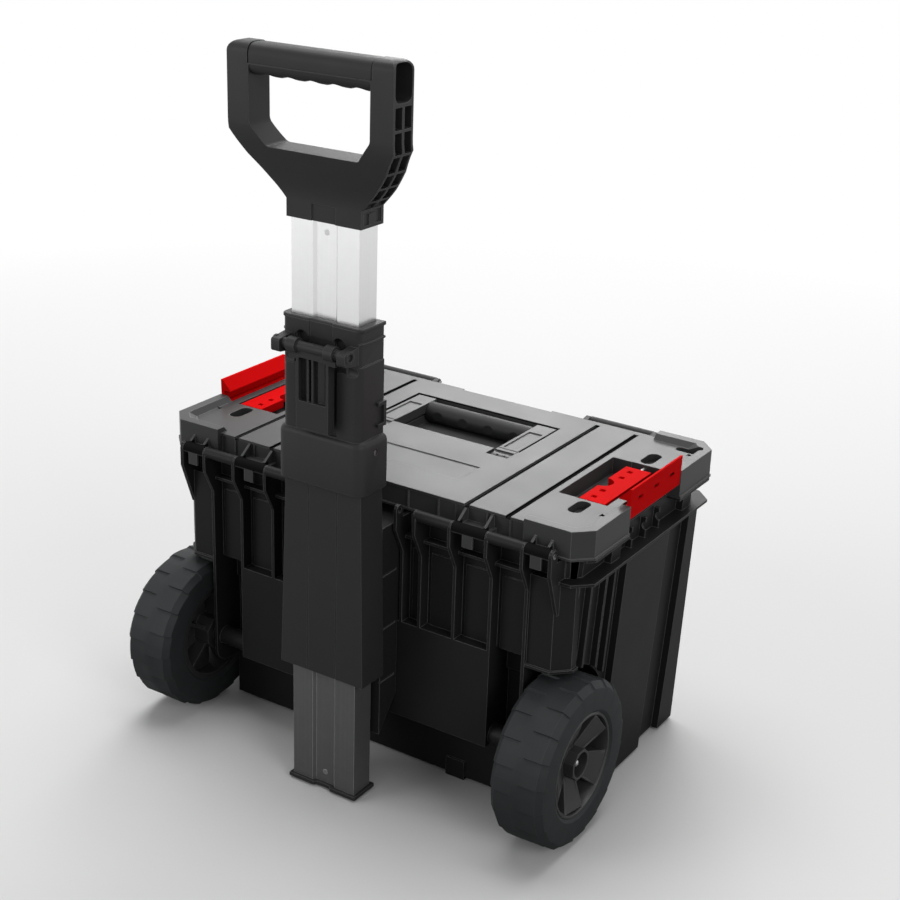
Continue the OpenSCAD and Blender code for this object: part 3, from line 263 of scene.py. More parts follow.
@dataclass(frozen=True)
class Moulded:
    """Injection-moulded plastic: spark grain, faint clouds in colour and gloss, and rounded edges with a
    painted highlight.

    cloud is the share by which the clouds change the colour, edge the radius of the sharp edges in metres,
    edge_highlight how many times paler their painted highlight is, and shaded the places that light hardly
    reaches.
    """

    name: str
    colour: Colour
    roughness: float = 0.42
    specular: float = 0.4
    grain: Grain = Grain.SPARK
    cloud: float = 0.12
    edge: float = 0.0008
    edge_highlight: float = 2.2
    shaded: tuple[Span, ...] = ()

    CLOUD_SCALES = (9.0, 60.0)
    GLOSS_SCALE = 25.0
    GLOSS_SWING = 0.05
    EDGE_LIFT = 0.004
    DARK = (0.013, 0.013, 0.013)

    def material(self) -> bpy.types.Material:
        """Make the material.

        Returns:
            The material.
        """
        made = bpy.data.materials.new(f"{self.name}_finish")
        board = Board(made)
        wide, small = self.CLOUD_SCALES
        tone = (board.noise(wide, 3.0) * 0.7 + board.noise(small) * 0.3).clipped()
        shade = board.mix(tone, scaled(self.colour, 1 - self.cloud), scaled(self.colour, 1 + self.cloud))
        # Painted highlight: sharp edges get a paler colour than the faces, standing for light caught on
        # rounded edges.
        painted_highlight_and_shade = scaled(self.colour, self.edge_highlight, self.EDGE_LIFT)
        gloss = board.noise(self.GLOSS_SCALE, 3.0)
        rounded = board.rounded(self.edge)
        board.surface(self.darkened(board, board.node("ShaderNodeBsdfPrincipled", None, {
            "Base Color": board.mix(board.edges(rounded), shade, painted_highlight_and_shade),
            "Roughness": gloss.between(self.roughness - self.GLOSS_SWING, self.roughness + self.GLOSS_SWING),
            "Specular IOR Level": self.specular,
            "Normal": board.grained(self.grain, rounded)})))
        return made

    def darkened(self, board: Board, plastic: Signal) -> Signal:
        """Make the places dark that light hardly reaches.

        Args:
            board: The material's nodes.
            plastic: Shader of the whole surface.

        Returns:
            The shader with its dark places.
        """
        for x, y, z in self.shaded:
            inside = abs(board.axis("X")).within(x) * board.axis("Y").within(y) * board.axis("Z").within(z)
            dark = board.node("ShaderNodeBsdfDiffuse", None, {"Color": self.DARK})
            plastic = board.node("ShaderNodeMixShader", None, {0: inside, 1: plastic, 2: dark})
        return plastic


@dataclass(frozen=True)
class Rubber:
    """Matt rubber: coarse soft grain, patches of dust, and a painted highlight on its sharp edges.

    dust is the share by which the dust makes it paler.
    """

    name: str
    colour: Colour
    roughness: float = 0.62
    dust: float = 0.25

    PATCH_SCALE = 40.0
    DUST_LIFT = 0.001
    SPECULAR = 0.25
    EDGE = 0.0007
    EDGE_HIGHLIGHT = 1.7

    def material(self) -> bpy.types.Material:
        """Make the material.

        Returns:
            The material.
        """
        made = bpy.data.materials.new(f"{self.name}_finish")
        board = Board(made)
        patches = board.noise(self.PATCH_SCALE, 4.0)
        pale = scaled(self.colour, 1 + self.dust, self.DUST_LIFT)
        rounded = board.rounded(self.EDGE)
        shade = board.mix(patches, self.colour, pale)
        # Painted highlight: sharp edges are paler still than the dusty colour.
        board.surface(board.node("ShaderNodeBsdfPrincipled", None, {
            "Base Color": board.mix(board.edges(rounded), shade, scaled(pale, self.EDGE_HIGHLIGHT)),
            "Roughness": patches.between(self.roughness - 0.06, self.roughness + 0.08),
            "Specular IOR Level": self.SPECULAR,
            "Normal": board.grained(Grain.SOFT, rounded)}))
        return made


@dataclass(frozen=True)
class Metal:
    """Bare metal with fine lines along Z, as an extrusion or a drawn rod has.

    lines are counts per metre in X, Y and Z, and mottle is the share by which the mottling darkens it.
    painted_low_shade is the heights in millimetres between which the painted shade on its lower part fades
    out, and its share of the colour below.
    """

    name: str
    colour: Colour
    roughness: float = 0.3
    lines: Point = (600.0, 600.0, 6.0)
    mottle: float = 0.1
    painted_low_shade: Point | None = None

    MOTTLE_SCALE = 130.0
    LINE_DEPTH = 0.00003
    LINE_STRENGTH = 0.15
    LOW_SHADE_METALLIC = 0.35
    EDGE = 0.0005
    EDGE_SHARE = 0.8
    EDGE_COLOUR = (0.95, 0.95, 0.95)

    def material(self) -> bpy.types.Material:
        """Make the material.

        Returns:
            The material.
        """
        made = bpy.data.materials.new(f"{self.name}_finish")
        board = Board(made)
        streak = board.noise(1.0, 2.0, self.lines)
        tone = (streak * 0.6 + board.noise(self.MOTTLE_SCALE, 3.0) * 0.4).clipped()
        rounded = board.rounded(self.EDGE)
        shade = board.mix(tone, scaled(self.colour, 1 - self.mottle), self.colour)
        metallic: Signal | float = 1.0
        # Painted shade: below these heights it is darker and less metallic, standing for dark reflections on
        # its lower part.
        if self.painted_low_shade:
            low, high, share = self.painted_low_shade
            rise = ((board.axis("Z") - low) / (high - low)).clipped()
            painted_highlight_and_shade = board.mix(tone, scaled(self.colour, share * 0.8), scaled(self.colour, share * 1.2))
            shade = board.mix(rise, painted_highlight_and_shade, shade)
            metallic = rise.between(self.LOW_SHADE_METALLIC, 1.0)
        # Painted highlight: its sharp edges are mixed towards near-white.
        board.surface(board.node("ShaderNodeBsdfPrincipled", None, {
            "Base Color": board.mix(board.edges(rounded) * self.EDGE_SHARE, shade, self.EDGE_COLOUR),
            "Metallic": metallic,
            "Roughness": tone.between(self.roughness - 0.05, self.roughness + 0.07),
            "Normal": board.bumped(streak, self.LINE_DEPTH, self.LINE_STRENGTH, rounded)}))
        return made


class Finish(Enum):
    """The finishes of the box, one for each material slot of the record."""

    TUB = Moulded("tub_black", (0.022, 0.022, 0.0225), specular=0.12, edge_highlight=9.0)
    HOUSING = Moulded("housing_black", (0.035, 0.035, 0.0355), 0.45, 0.2, edge_highlight=3.4)
    LID = Moulded("lid_grey", (0.062, 0.0625, 0.063), 0.35, 0.2, Grain.SATIN, edge=0.0009, edge_highlight=3.2,
                  shaded=(*LID_GROOVES, LID_KNUCKLES, *WELL_BORDER))
    RED = Moulded("red_plastic", (0.7, 0.005, 0.006), 0.45, 0.004, Grain.SATIN, cloud=0.04, edge=0.0005,
                  edge_highlight=1.3, shaded=CLIP_SLOTS)
    GRIP = Rubber("grip_rubber", (0.02, 0.02, 0.021), 0.5, 0.1)
    SEAL = Rubber("seal_rubber", (0.015, 0.015, 0.015), 0.7)
    TYRE = Rubber("tyre", (0.024, 0.0265, 0.0278), 0.58)
    RIM = Moulded("rim_black", (0.035, 0.035, 0.036), 0.4, 0.5, edge_highlight=3.0)
    STEEL = Metal("steel", (0.55, 0.55, 0.56), 0.28, (60.0, 60.0, 60.0))
    ALUMINIUM = Metal("aluminium", (0.8, 0.803, 0.806), painted_low_shade=(130.0, 260.0, 0.2))


@cache
def finished(finish: Finish) -> bpy.types.Material:
    """Make a finish's material once."""
    return finish.value.material()


def softened(outline: Sequence[Pair], radius: float, steps: int = 4) -> Outline:
    """Round the corners of an outline.

    Args:
        outline: Its corners.
        radius: How far from each corner the rounding starts.
        steps: Facets at each corner.

    Returns:
        The rounded outline.
    """
    made = []
    for n, here in enumerate(outline):
        corner = Vector(here)
        ends = []
        for other in (outline[n - 1], outline[(n + 1) % len(outline)]):
            line = Vector(other) - corner
            ends.append(corner + line.normalized() * min(radius, line.length * 0.45))
        for k in range(steps + 1):
            t = k / steps
            made.append(tuple(ends[0] * (1 - t) ** 2 + corner * 2 * t * (1 - t) + ends[1] * t ** 2))
    return made


def oblong(low: Pair, high: Pair, radius: float, steps: int = 4) -> Outline:
    """Oblong with rounded corners, between its lowest and its highest corner."""
    return softened([low, (high[0], low[1]), high, (low[0], high[1])], radius, steps)


def both(points: Sequence[Pair]) -> Outline:
    """Outline that has the points on the +X side and their mirror on the other."""
    return [*points, *((-x, z) for x, z in reversed(points))]


def quarter(radius: float, facets: int = 6) -> Outline:
    """Insets from a corner that follow a quarter circle, from (0, radius) to (radius, 0)."""
    turns = [pi / 2 * n / facets for n in range(facets + 1)]
    return [(radius * (1 - cos(turn)), radius * (1 - sin(turn))) for turn in turns]


def ease(low: float, high: float, share: float) -> float:
    """Go from low to high in an S-shaped line."""
    return low + (high - low) * (1 - cos(pi * share)) / 2


def beside(sign: int, near: float, far: float) -> Pair:
    """Span in X between two distances from the middle, on one side."""
    return (near, far) if sign > 0 else (-far, -near)


def tube_hole(play: float) -> Outline:
    """Section of the mast's tube in X and Y, grown by some play.

    Args:
        play: Room on each side of the tube.

    Returns:
        The section, with the groove in the tube's back.
    """
    half, front, back, floor = 34.0 + play, 156.0 - play, 180.4 + play, 177.8 + play
    edge, bed = 12.2 - play / 2, 9.6 - play / 2
    return [(-half, front), (half, front), (half, back), (edge, back), (bed, floor), (-bed, floor),
            (-edge, back), (-half, back)]


def placed(name: str, work: bmesh.types.BMesh) -> Piece:
    """Put a mesh into the scene.

    Args:
        name: Name of the object and of its mesh.
        work: The mesh.

    Returns:
        The object.
    """
    mesh = bpy.data.meshes.new(name)
    work.to_mesh(mesh)
    made = bpy.data.objects.new(name, mesh)
    bpy.context.scene.collection.objects.link(made)
    return made


class Form:
    """A mesh under construction, in millimetres of the lid's frame."""

    def __init__(self) -> None:
        """Start with an empty mesh."""
        self.work = bmesh.new()

    def rings(self, rings: Sequence[Sequence[Point]], closed: bool = False) -> "Form":
        """Skin a row of rings that have the same number of points.

        Args:
            rings: Rings of points.
            closed: True if the last ring joins the first, or else both ends are filled.

        Returns:
            The form itself.
        """
        rows = [[self.work.verts.new(p) for p in ring] for ring in rings]
        count = len(rows[0])
        for a, b in zip(rows, rows[1:] + rows[:1] if closed else rows[1:]):
            for n in range(count):
                self.work.faces.new((a[n], a[(n + 1) % count], b[(n + 1) % count], b[n]))
        if not closed:
            self.work.faces.new(rows[0][::-1])
            self.work.faces.new(rows[-1])
        return self

    def prism(self, axis: str, outline: Sequence[Pair], low: float, high: float) -> "Form":
        """Draw an outline out along an axis.

        Args:
            axis: "x", "y" or "z"; the outline's two numbers are the other two, in order.
            outline: Corners.
            low: Lower end along the axis.
            high: Upper end along the axis.

        Returns:
            The form itself.
        """
        n = "xyz".index(axis)
        return self.rings([[(*p[:n], end, *p[n:]) for p in outline] for end in (low, high)])

    def taper(self, *ends: tuple[Pair, Pair, float]) -> "Form":
        """Add a four-sided bar along Z, with a span in X, a span in Y and a height for each end."""
        return self.rings([[(x[0], y[0], z), (x[1], y[0], z), (x[1], y[1], z), (x[0], y[1], z)]
                           for x, y, z in ends])

    def block(self, x: Pair, y: Pair, z: Pair) -> "Form":
        """Add a box between three pairs of numbers."""
        return self.taper((x, y, z[0]), (x, y, z[1]))

    def rod(self, axis: str, centre: Pair, radius: float, low: float, high: float,
            steps: int = 32) -> "Form":
        """Add a round bar.

        Args:
            axis: "x", "y" or "z".
            centre: The other two coordinates of its middle, in order.
            radius: Its radius.
            low: Lower end along the axis.
            high: Upper end along the axis.
            steps: Facets round it.

        Returns:
            The form itself.
        """
        turns = [2 * pi * n / steps for n in range(steps)]
        return self.prism(axis, [(centre[0] + radius * cos(turn), centre[1] + radius * sin(turn))
                                 for turn in turns], low, high)

    def lathe(self, profile: Sequence[Pair], centre: Pair, steps: int = 48) -> "Form":
        """Turn a closed profile round an axis along X.

        Args:
            profile: Pairs of radius and X.
            centre: Y and Z of the axis.
            steps: Facets round the axis.

        Returns:
            The form itself.
        """
        turns = [2 * pi * n / steps for n in range(steps)]
        return self.rings([[(x, centre[0] + r * cos(turn), centre[1] + r * sin(turn))
                            for r, x in profile] for turn in turns], closed=True)

    def cleaned(self) -> bmesh.types.BMesh:
        """Join double points and turn all faces outwards.

        Returns:
            The form's mesh.
        """
        bmesh.ops.remove_doubles(self.work, verts=self.work.verts, dist=SAME_POINT)
        bmesh.ops.recalc_face_normals(self.work, faces=self.work.faces)
        return self.work

    def worked(self, other: "Form", operation: str) -> "Form":
        """Join with, cut by or keep what is common with another closed form.

        Args:
            other: The other form.
            operation: "UNION", "DIFFERENCE" or "INTERSECT".

        Returns:
            A new form.
        """
        pair = [placed("work", form.cleaned()) for form in (self, other)]
        tool = pair[0].modifiers.new("work", "BOOLEAN")
        tool.operation, tool.solver, tool.object = operation, "MANIFOLD", pair[1]
        solved = pair[0].evaluated_get(bpy.context.evaluated_depsgraph_get())
        mesh = bpy.data.meshes.new_from_object(solved)
        made = Form()
        made.work.from_mesh(mesh)
        # Removing a mesh takes its object along.
        for used in (pair[0].data, pair[1].data, mesh):
            bpy.data.meshes.remove(used)
        return made

    def __add__(self, other: "Form") -> "Form":
        """Join two forms."""
        return self.worked(other, "UNION")

    def __sub__(self, other: "Form") -> "Form":
        """Cut the other form away."""
        return self.worked(other, "DIFFERENCE")

    def __and__(self, other: "Form") -> "Form":
        """Keep what both forms fill."""
        return self.worked(other, "INTERSECT")

    def turned(self, angle: float, centre: Pair) -> "Form":
        """Turn all that was made so far.

        Args:
            angle: Degrees round an axis along X.
            centre: Y and Z of the axis.

        Returns:
            The form itself.
        """
        bmesh.ops.rotate(self.work, verts=self.work.verts, cent=(0, *centre),
                         matrix=Matrix.Rotation(radians(angle), 3, "X"))
        return self

    def mirrored(self) -> "Form":
        """Move the form to the other side of the box."""
        bmesh.ops.scale(self.work, vec=(-1, 1, 1), verts=self.work.verts)
        return self

    def piece(self, name: str, body: str, finish: Finish, *nodes: str) -> Piece:
        """Turn the form into a piece of the box.

        Args:
            name: Name of the piece.
            body: CAD body that it moves with.
            finish: Its finish, which is also its material slot.
            nodes: CAD nodes that it stands for.

        Returns:
            The piece.
        """
        self.cleaned().transform(Matrix.Translation((0, LID_MIDDLE_Y, 0)) @ Matrix.Scale(MM, 4))
        made = placed(name, self.work)
        self.work.free()
        made.data.shade_smooth()
        made.data.set_sharp_from_angle(angle=radians(SHARP_ANGLE))
        made.data.materials.append(finished(finish))
        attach(made, body)
        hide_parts(*nodes)
        return made


@dataclass
class Plain:
    """CAD nodes whose shape is right and that take a finish only."""

    finishes: Mapping[Finish, Sequence[str]]

    def build(self) -> list[Piece]:
        """Dress the nodes.

        Returns:
            Their objects.
        """
        made = []
        for finish, nodes in self.finishes.items():
            for node in nodes:
                made.append(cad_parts[node])
                made[-1].data.materials.clear()
                made[-1].data.materials.append(finished(finish))
        return made


@dataclass
class PullHandle:
    """D-handle on the mast: an S-shaped frame with open, ribbed sides and a soft grip with finger dips.

    near and far are Y of the back and of the front face, at the block and at the top. block, flare and
    opening are X and Z, notch is half width and depth, and grip_seam is how far the grip stands back at
    each end. rim is how deep the hollow sides go in from the flank. Other pairs are spans.
    """

    foot: float = 529.8
    top: float = 667.0
    block: Pair = (37.1, 544.8)
    flare: tuple[Pair, ...] = ((51.6, 560.0), (67.0, 578.0), (79.8, 598.0))
    corner: float = 8.0
    near: Pair = (183.0, 202.8)
    far: Pair = (152.5, 176.5)
    bend: float = 62.0
    bend_steps: int = 14
    opening: tuple[Pair, ...] = ((44.5, 587.0), (58.4, 604.0), (58.4, 650.0))
    grip_half: float = 59.4
    grip_low: float = 641.4
    grip_round: float = 9.5
    grip_seam: float = 0.9
    seat_low: float = 651.0
    mouth: Pair = (635.5, 664.8)
    wall: float = 2.4
    rim: float = 10.5
    hollow: Pair = (545.5, 632.5)
    web_levels: tuple[float, ...] = (613.5, 594.5, 578.0, 563.5, 551.0)
    web: float = 2.2
    middle_web: float = 1.5
    core: Span = ((-36.0, 36.0), DEEP, (530.0, 558.0))
    pocket: Span = ((35.7, 40.0), (156.0, 179.6), (532.5, 543.5))
    stud: Span = ((35.0, 36.8), (163.5, 172.0), (530.0, 541.0))
    socket_depth: float = 26.0
    notch: Pair = (12.0, 1.2)
    dips: int = 5
    dip_pitch: float = 22.0
    dip_radius: float = 17.6
    dip_drop: float = 15.2

    def outline(self, grow: float = 0.0, lift: float = 0.0) -> Outline:
        """Outline seen from the back.

        Args:
            grow: How far it is moved out.
            lift: How far its flank is moved up.

        Returns:
            The outline in X and Z.
        """
        flank = ((self.block[0], self.foot - 1), self.block, *self.flare)
        crown = ((self.flare[-1][0] + grow - u, self.top - v) for u, v in quarter(self.corner))
        return both([*((x + grow, z + lift) for x, z in flank), *crown])

    def bent(self, low: float, high: float) -> Outline:
        """S-shaped line between a Y at the block and a Y at the top, as Y and Z."""
        shares = [n / self.bend_steps for n in range(self.bend_steps + 1)]
        return [(ease(low, high, share), self.block[1] + self.bend * share) for share in shares]

    def profile(self, inset: float = 0.0) -> Outline:
        """Outline seen from the side.

        Args:
            inset: How far its two faces are moved in.

        Returns:
            The outline in Y and Z.
        """
        near = [y - inset for y in self.near]
        far = [y + inset for y in self.far]
        crown = [(near[1] - u, self.top - v) for u, v in quarter(self.corner)]
        crown += [(far[1] + v, self.top - u) for u, v in quarter(self.corner)]
        return [(far[0], self.foot), (near[0], self.foot), *self.bent(*near), *crown,
                *reversed(self.bent(*far))]

    def section(self, inset: float = 0.0) -> Outline:
        """Side outline of the grip, moved in by an inset."""
        gap = 0.4 + inset
        return oblong((self.far[1] + gap, self.grip_low + inset), (self.near[1] - gap, self.top - gap),
                      self.grip_round - inset / 2, 6)

    def blank(self) -> Form:
        """Cross the two outlines, and cut the hand's opening and the grip's seat.

        Returns:
            The frame without its hollows.
        """
        form = Form().prism("y", self.outline(), *DEEP) & Form().prism("x", self.profile(), *ACROSS)
        form -= Form().prism("y", softened(both(self.opening), 2.5), *DEEP)
        seat = (-self.grip_half, self.grip_half)
        form -= Form().block(seat, (self.far[1] - 1, self.near[1] + 1), (self.seat_low, self.top + 1))
        return form - Form().prism("x", self.section(), *seat)

    def webs(self) -> Form:
        """Make what stays solid in the hollow sides.

        Returns:
            The webs, the frame's inner half and the core round the tube's end.
        """
        low, high = (self.near[0] + self.far[0]) / 2, (self.near[1] + self.far[1]) / 2
        line = [(low, self.foot), *self.bent(low, high), (high, self.top - 20)]
        form = Form().prism("x", [*((y + self.middle_web, z) for y, z in line),
                                  *((y - self.middle_web, z) for y, z in reversed(line))], *ACROSS)
        for level in self.web_levels:
            form += Form().block(ACROSS, DEEP, (level, level + self.web))
        return form + Form().prism("y", self.outline(-self.rim, 5.0), *DEEP) + Form().block(*self.core)

    def frame(self) -> Piece:
        """Build the frame.

        Returns:
            Its piece.
        """
        form, webs = self.blank(), self.webs()
        mouth = oblong((self.far[1] + 2, self.mouth[0]), (self.near[1] - 2, self.mouth[1]), 7)
        for s in (-1, 1):
            form -= Form().prism("x", mouth, *beside(s, self.grip_half + 2, ACROSS[1]))
            room = Form().prism("x", self.profile(self.wall), *beside(s, 20, ACROSS[1]))
            room = (room & Form().block(ACROSS, DEEP, self.hollow)) - webs
            pocket, stud = (Form().block(beside(s, *x), y, z) for x, y, z in (self.pocket, self.stud))
            form = form - room - (pocket - stud)
        form -= Form().prism("z", tube_hole(0.2), self.foot - 2, self.foot + self.socket_depth)
        half, depth = self.notch
        form -= Form().block((-half, half), (self.near[0] - depth, self.near[0] + 4),
                             (self.foot - 1, self.block[1] - 1))
        return form.piece("pull_frame", "mast", Finish.HOUSING, "handle_frame")

    def grip(self) -> Piece:
        """Build the grip with a seam at each end and dips for the fingers on its underside.

        Returns:
            Its piece.
        """
        half = self.grip_half - self.grip_seam
        form = Form().prism("x", self.section(), -half, half)
        form += Form().prism("x", self.section(1.0), -self.grip_half - 0.5, self.grip_half + 0.5)
        for n in range(self.dips):
            middle = ((n - (self.dips - 1) / 2) * self.dip_pitch, self.grip_low - self.dip_drop)
            form -= Form().rod("y", middle, self.dip_radius, *DEEP, 64)
        return form.piece("pull_grip", "mast", Finish.GRIP, "mast_grip")

    def build(self) -> list[Piece]:
        """Build the frame and its grip."""
        return [self.frame(), self.grip()]


@dataclass(frozen=True)
class Tier:
    """One tier of the mast's head: half width, Y of its back, and radius of its outer corners.

    dip is how far the middle third of its back is set in, and levels are heights and insets.
    """

    half: float
    back: float
    radius: float
    dip: float
    levels: tuple[Pair, ...]


@dataclass
class MastHead:
    """Upper housing of the mast: rounded band, neck with lugs, thin collar, and the release lever.

    middle is half the width of each tier's middle third, and bore is where the tube's hole starts and
    ends. recess and its wider top are half width and lower end, rod and screw are Y and Z, lug, board
    and hook are spans in X, and window is half width, lower and upper end.
    """

    front: float = 152.3
    tiers: tuple[Tier, ...] = (
        Tier(44.3, 189.4, 9.0, 0.0, ((303.0, 0.8), (304.0, 0.0), (346.0, 0.0), (348.6, 0.8), (350.2, 2.2),
                                     (351.0, 4.2))),
        Tier(40.1, 186.6, 6.5, 0.0, ((345.0, 0.0), (415.8, 0.0), (417.0, 1.2))),
        Tier(39.2, 186.6, 5.0, 1.4, ((415.0, 0.0), (447.0, 0.0))),
        Tier(41.0, 185.9, 5.5, 1.4, ((434.6, 0.5), (435.2, 0.0), (436.2, 0.0), (436.8, 0.5))),
        Tier(41.3, 186.1, 5.5, 1.4, ((445.6, 0.6), (446.4, 0.0), (448.4, 0.0), (449.0, 0.6))))
    middle: float = 12.4
    bore: Pair = (301.0, 452.0)
    cut: float = 184.0
    recess: Pair = (17.2, 351.5)
    widening: Pair = (26.5, 409.0)
    recess_top: float = 434.0
    lug: Pair = (29.4, 37.6)
    lug_foot: float = 418.5
    rod: Pair = (196.8, 428.0)
    pin_level: float = 366.0
    screw: Pair = (168.2, 339.0)
    plate_half: float = 16.5
    plate_low: float = 357.0
    plate_depth: float = 8.5
    window: Point = (14.0, 381.0, 418.5)
    bars: Pair = (5.4, 0.6)
    board: Pair = (-10.2, -3.0)
    hook: Pair = (14.6, 23.6)

    def shell(self, tier: Tier) -> Form:
        """Stack the plans of a tier.

        Args:
            tier: The tier.

        Returns:
            Its form.
        """
        rings = []
        for z, inset in tier.levels:
            half, back = tier.half - inset, tier.back - inset
            arc = quarter(tier.radius - inset / 2)
            side = [(half, self.front), *((half - u, back - v) for u, v in arc), (self.middle, back),
                    (self.middle - tier.dip, back - tier.dip)]
            rings.append([(x, y, z) for x, y in both(side)])
        return Form().rings(rings)

    def stack(self) -> Form:
        """Join the tiers, from the band up to the rim, and cut the recess and the hollows.

        Returns:
            The housing without its lugs and holes.
        """
        form = self.shell(self.tiers[0])
        for tier in self.tiers[1:]:
            form += self.shell(tier)
        for half, low in (self.recess, self.widening):
            form -= Form().block((-half, half), (self.cut, DEEP[1]), (low, self.recess_top))
        for s in (-1, 1):
            form -= Form().rod("y", (s * 19.0, 431.5), 6.6, 181.2, DEEP[1])
            form -= Form().rod("x", (191.5, 411.5), 6.4, *beside(s, 28, 46))
        return form

    def housing(self) -> Piece:
        """Build the housing, with the rod's lugs and holes for the rod, tube, lock pin and screws.

        Returns:
            Its piece.
        """
        form = self.stack()
        y, z = self.rod
        lug = softened([(self.cut, self.recess_top), (self.cut, self.lug_foot), (y + 5.6, z - 7.2),
                        (y + 7, z - 5.6), (y + 7, z + 2.6), (y + 6, z + 4)], 1.2, 2)
        for s in (-1, 1):
            form += Form().prism("x", lug, *beside(s, *self.lug))
            form += Form().rod("x", self.rod, 5.3, *beside(s, 36, self.lug[1] + 0.8))
            form -= Form().rod("x", self.rod, 3.3, *beside(s, 35.4, 39))
        form -= Form().rod("x", self.rod, 3.02, -36, 36)
        form -= Form().prism("z", tube_hole(0.4), *self.bore)
        form -= Form().rod("y", (0, self.pin_level), 4.1, 176, 200)
        form -= Form().rod("x", self.screw, 2.6, -46, 46)
        return form.piece("head_housing", "tub", Finish.HOUSING, "mast_head")

    def lever(self) -> Piece:
        """Build the release lever: tube on the rod, two hooks, and a plate with a barred window.

        Returns:
            Its piece.
        """
        y, z = self.rod
        back = y + 1
        half, low, high = self.window
        form = Form().block((-self.plate_half, self.plate_half), (back - self.plate_depth, back),
                            (self.plate_low, z - 2))
        form -= Form().prism("y", softened(both([(half, low), (half, high)]), 1), back - 6.2, back + 2)
        bars = [((x - 0.9, x + 0.9), back - 1.4) for x in self.bars]
        for span, face in (*bars, (self.board, back - 4.2)):
            form += Form().block(span, (back - 7, face), (low - 1, high + 0.5))
        form += Form().rod("x", self.rod, 4.4, -28.9, 28.9)
        for s in (-1, 1):
            ends = beside(s, *self.hook)
            hook = Form().rod("x", self.rod, 6.6, *ends) + Form().block(ends, (back - 8, back), (z - 11, z))
            form += hook
        form -= Form().rod("x", self.rod, 3.1, -30, 30)
        form -= Form().rod("y", (0, self.pin_level), 6.2, back - 10, back - 4.5)
        return form.piece("lever_plate", "release_lever", Finish.HOUSING, "release_lever")

    def build(self) -> list[Piece]:
        """Build the housing and the lever."""
        return [self.housing(), self.lever()]


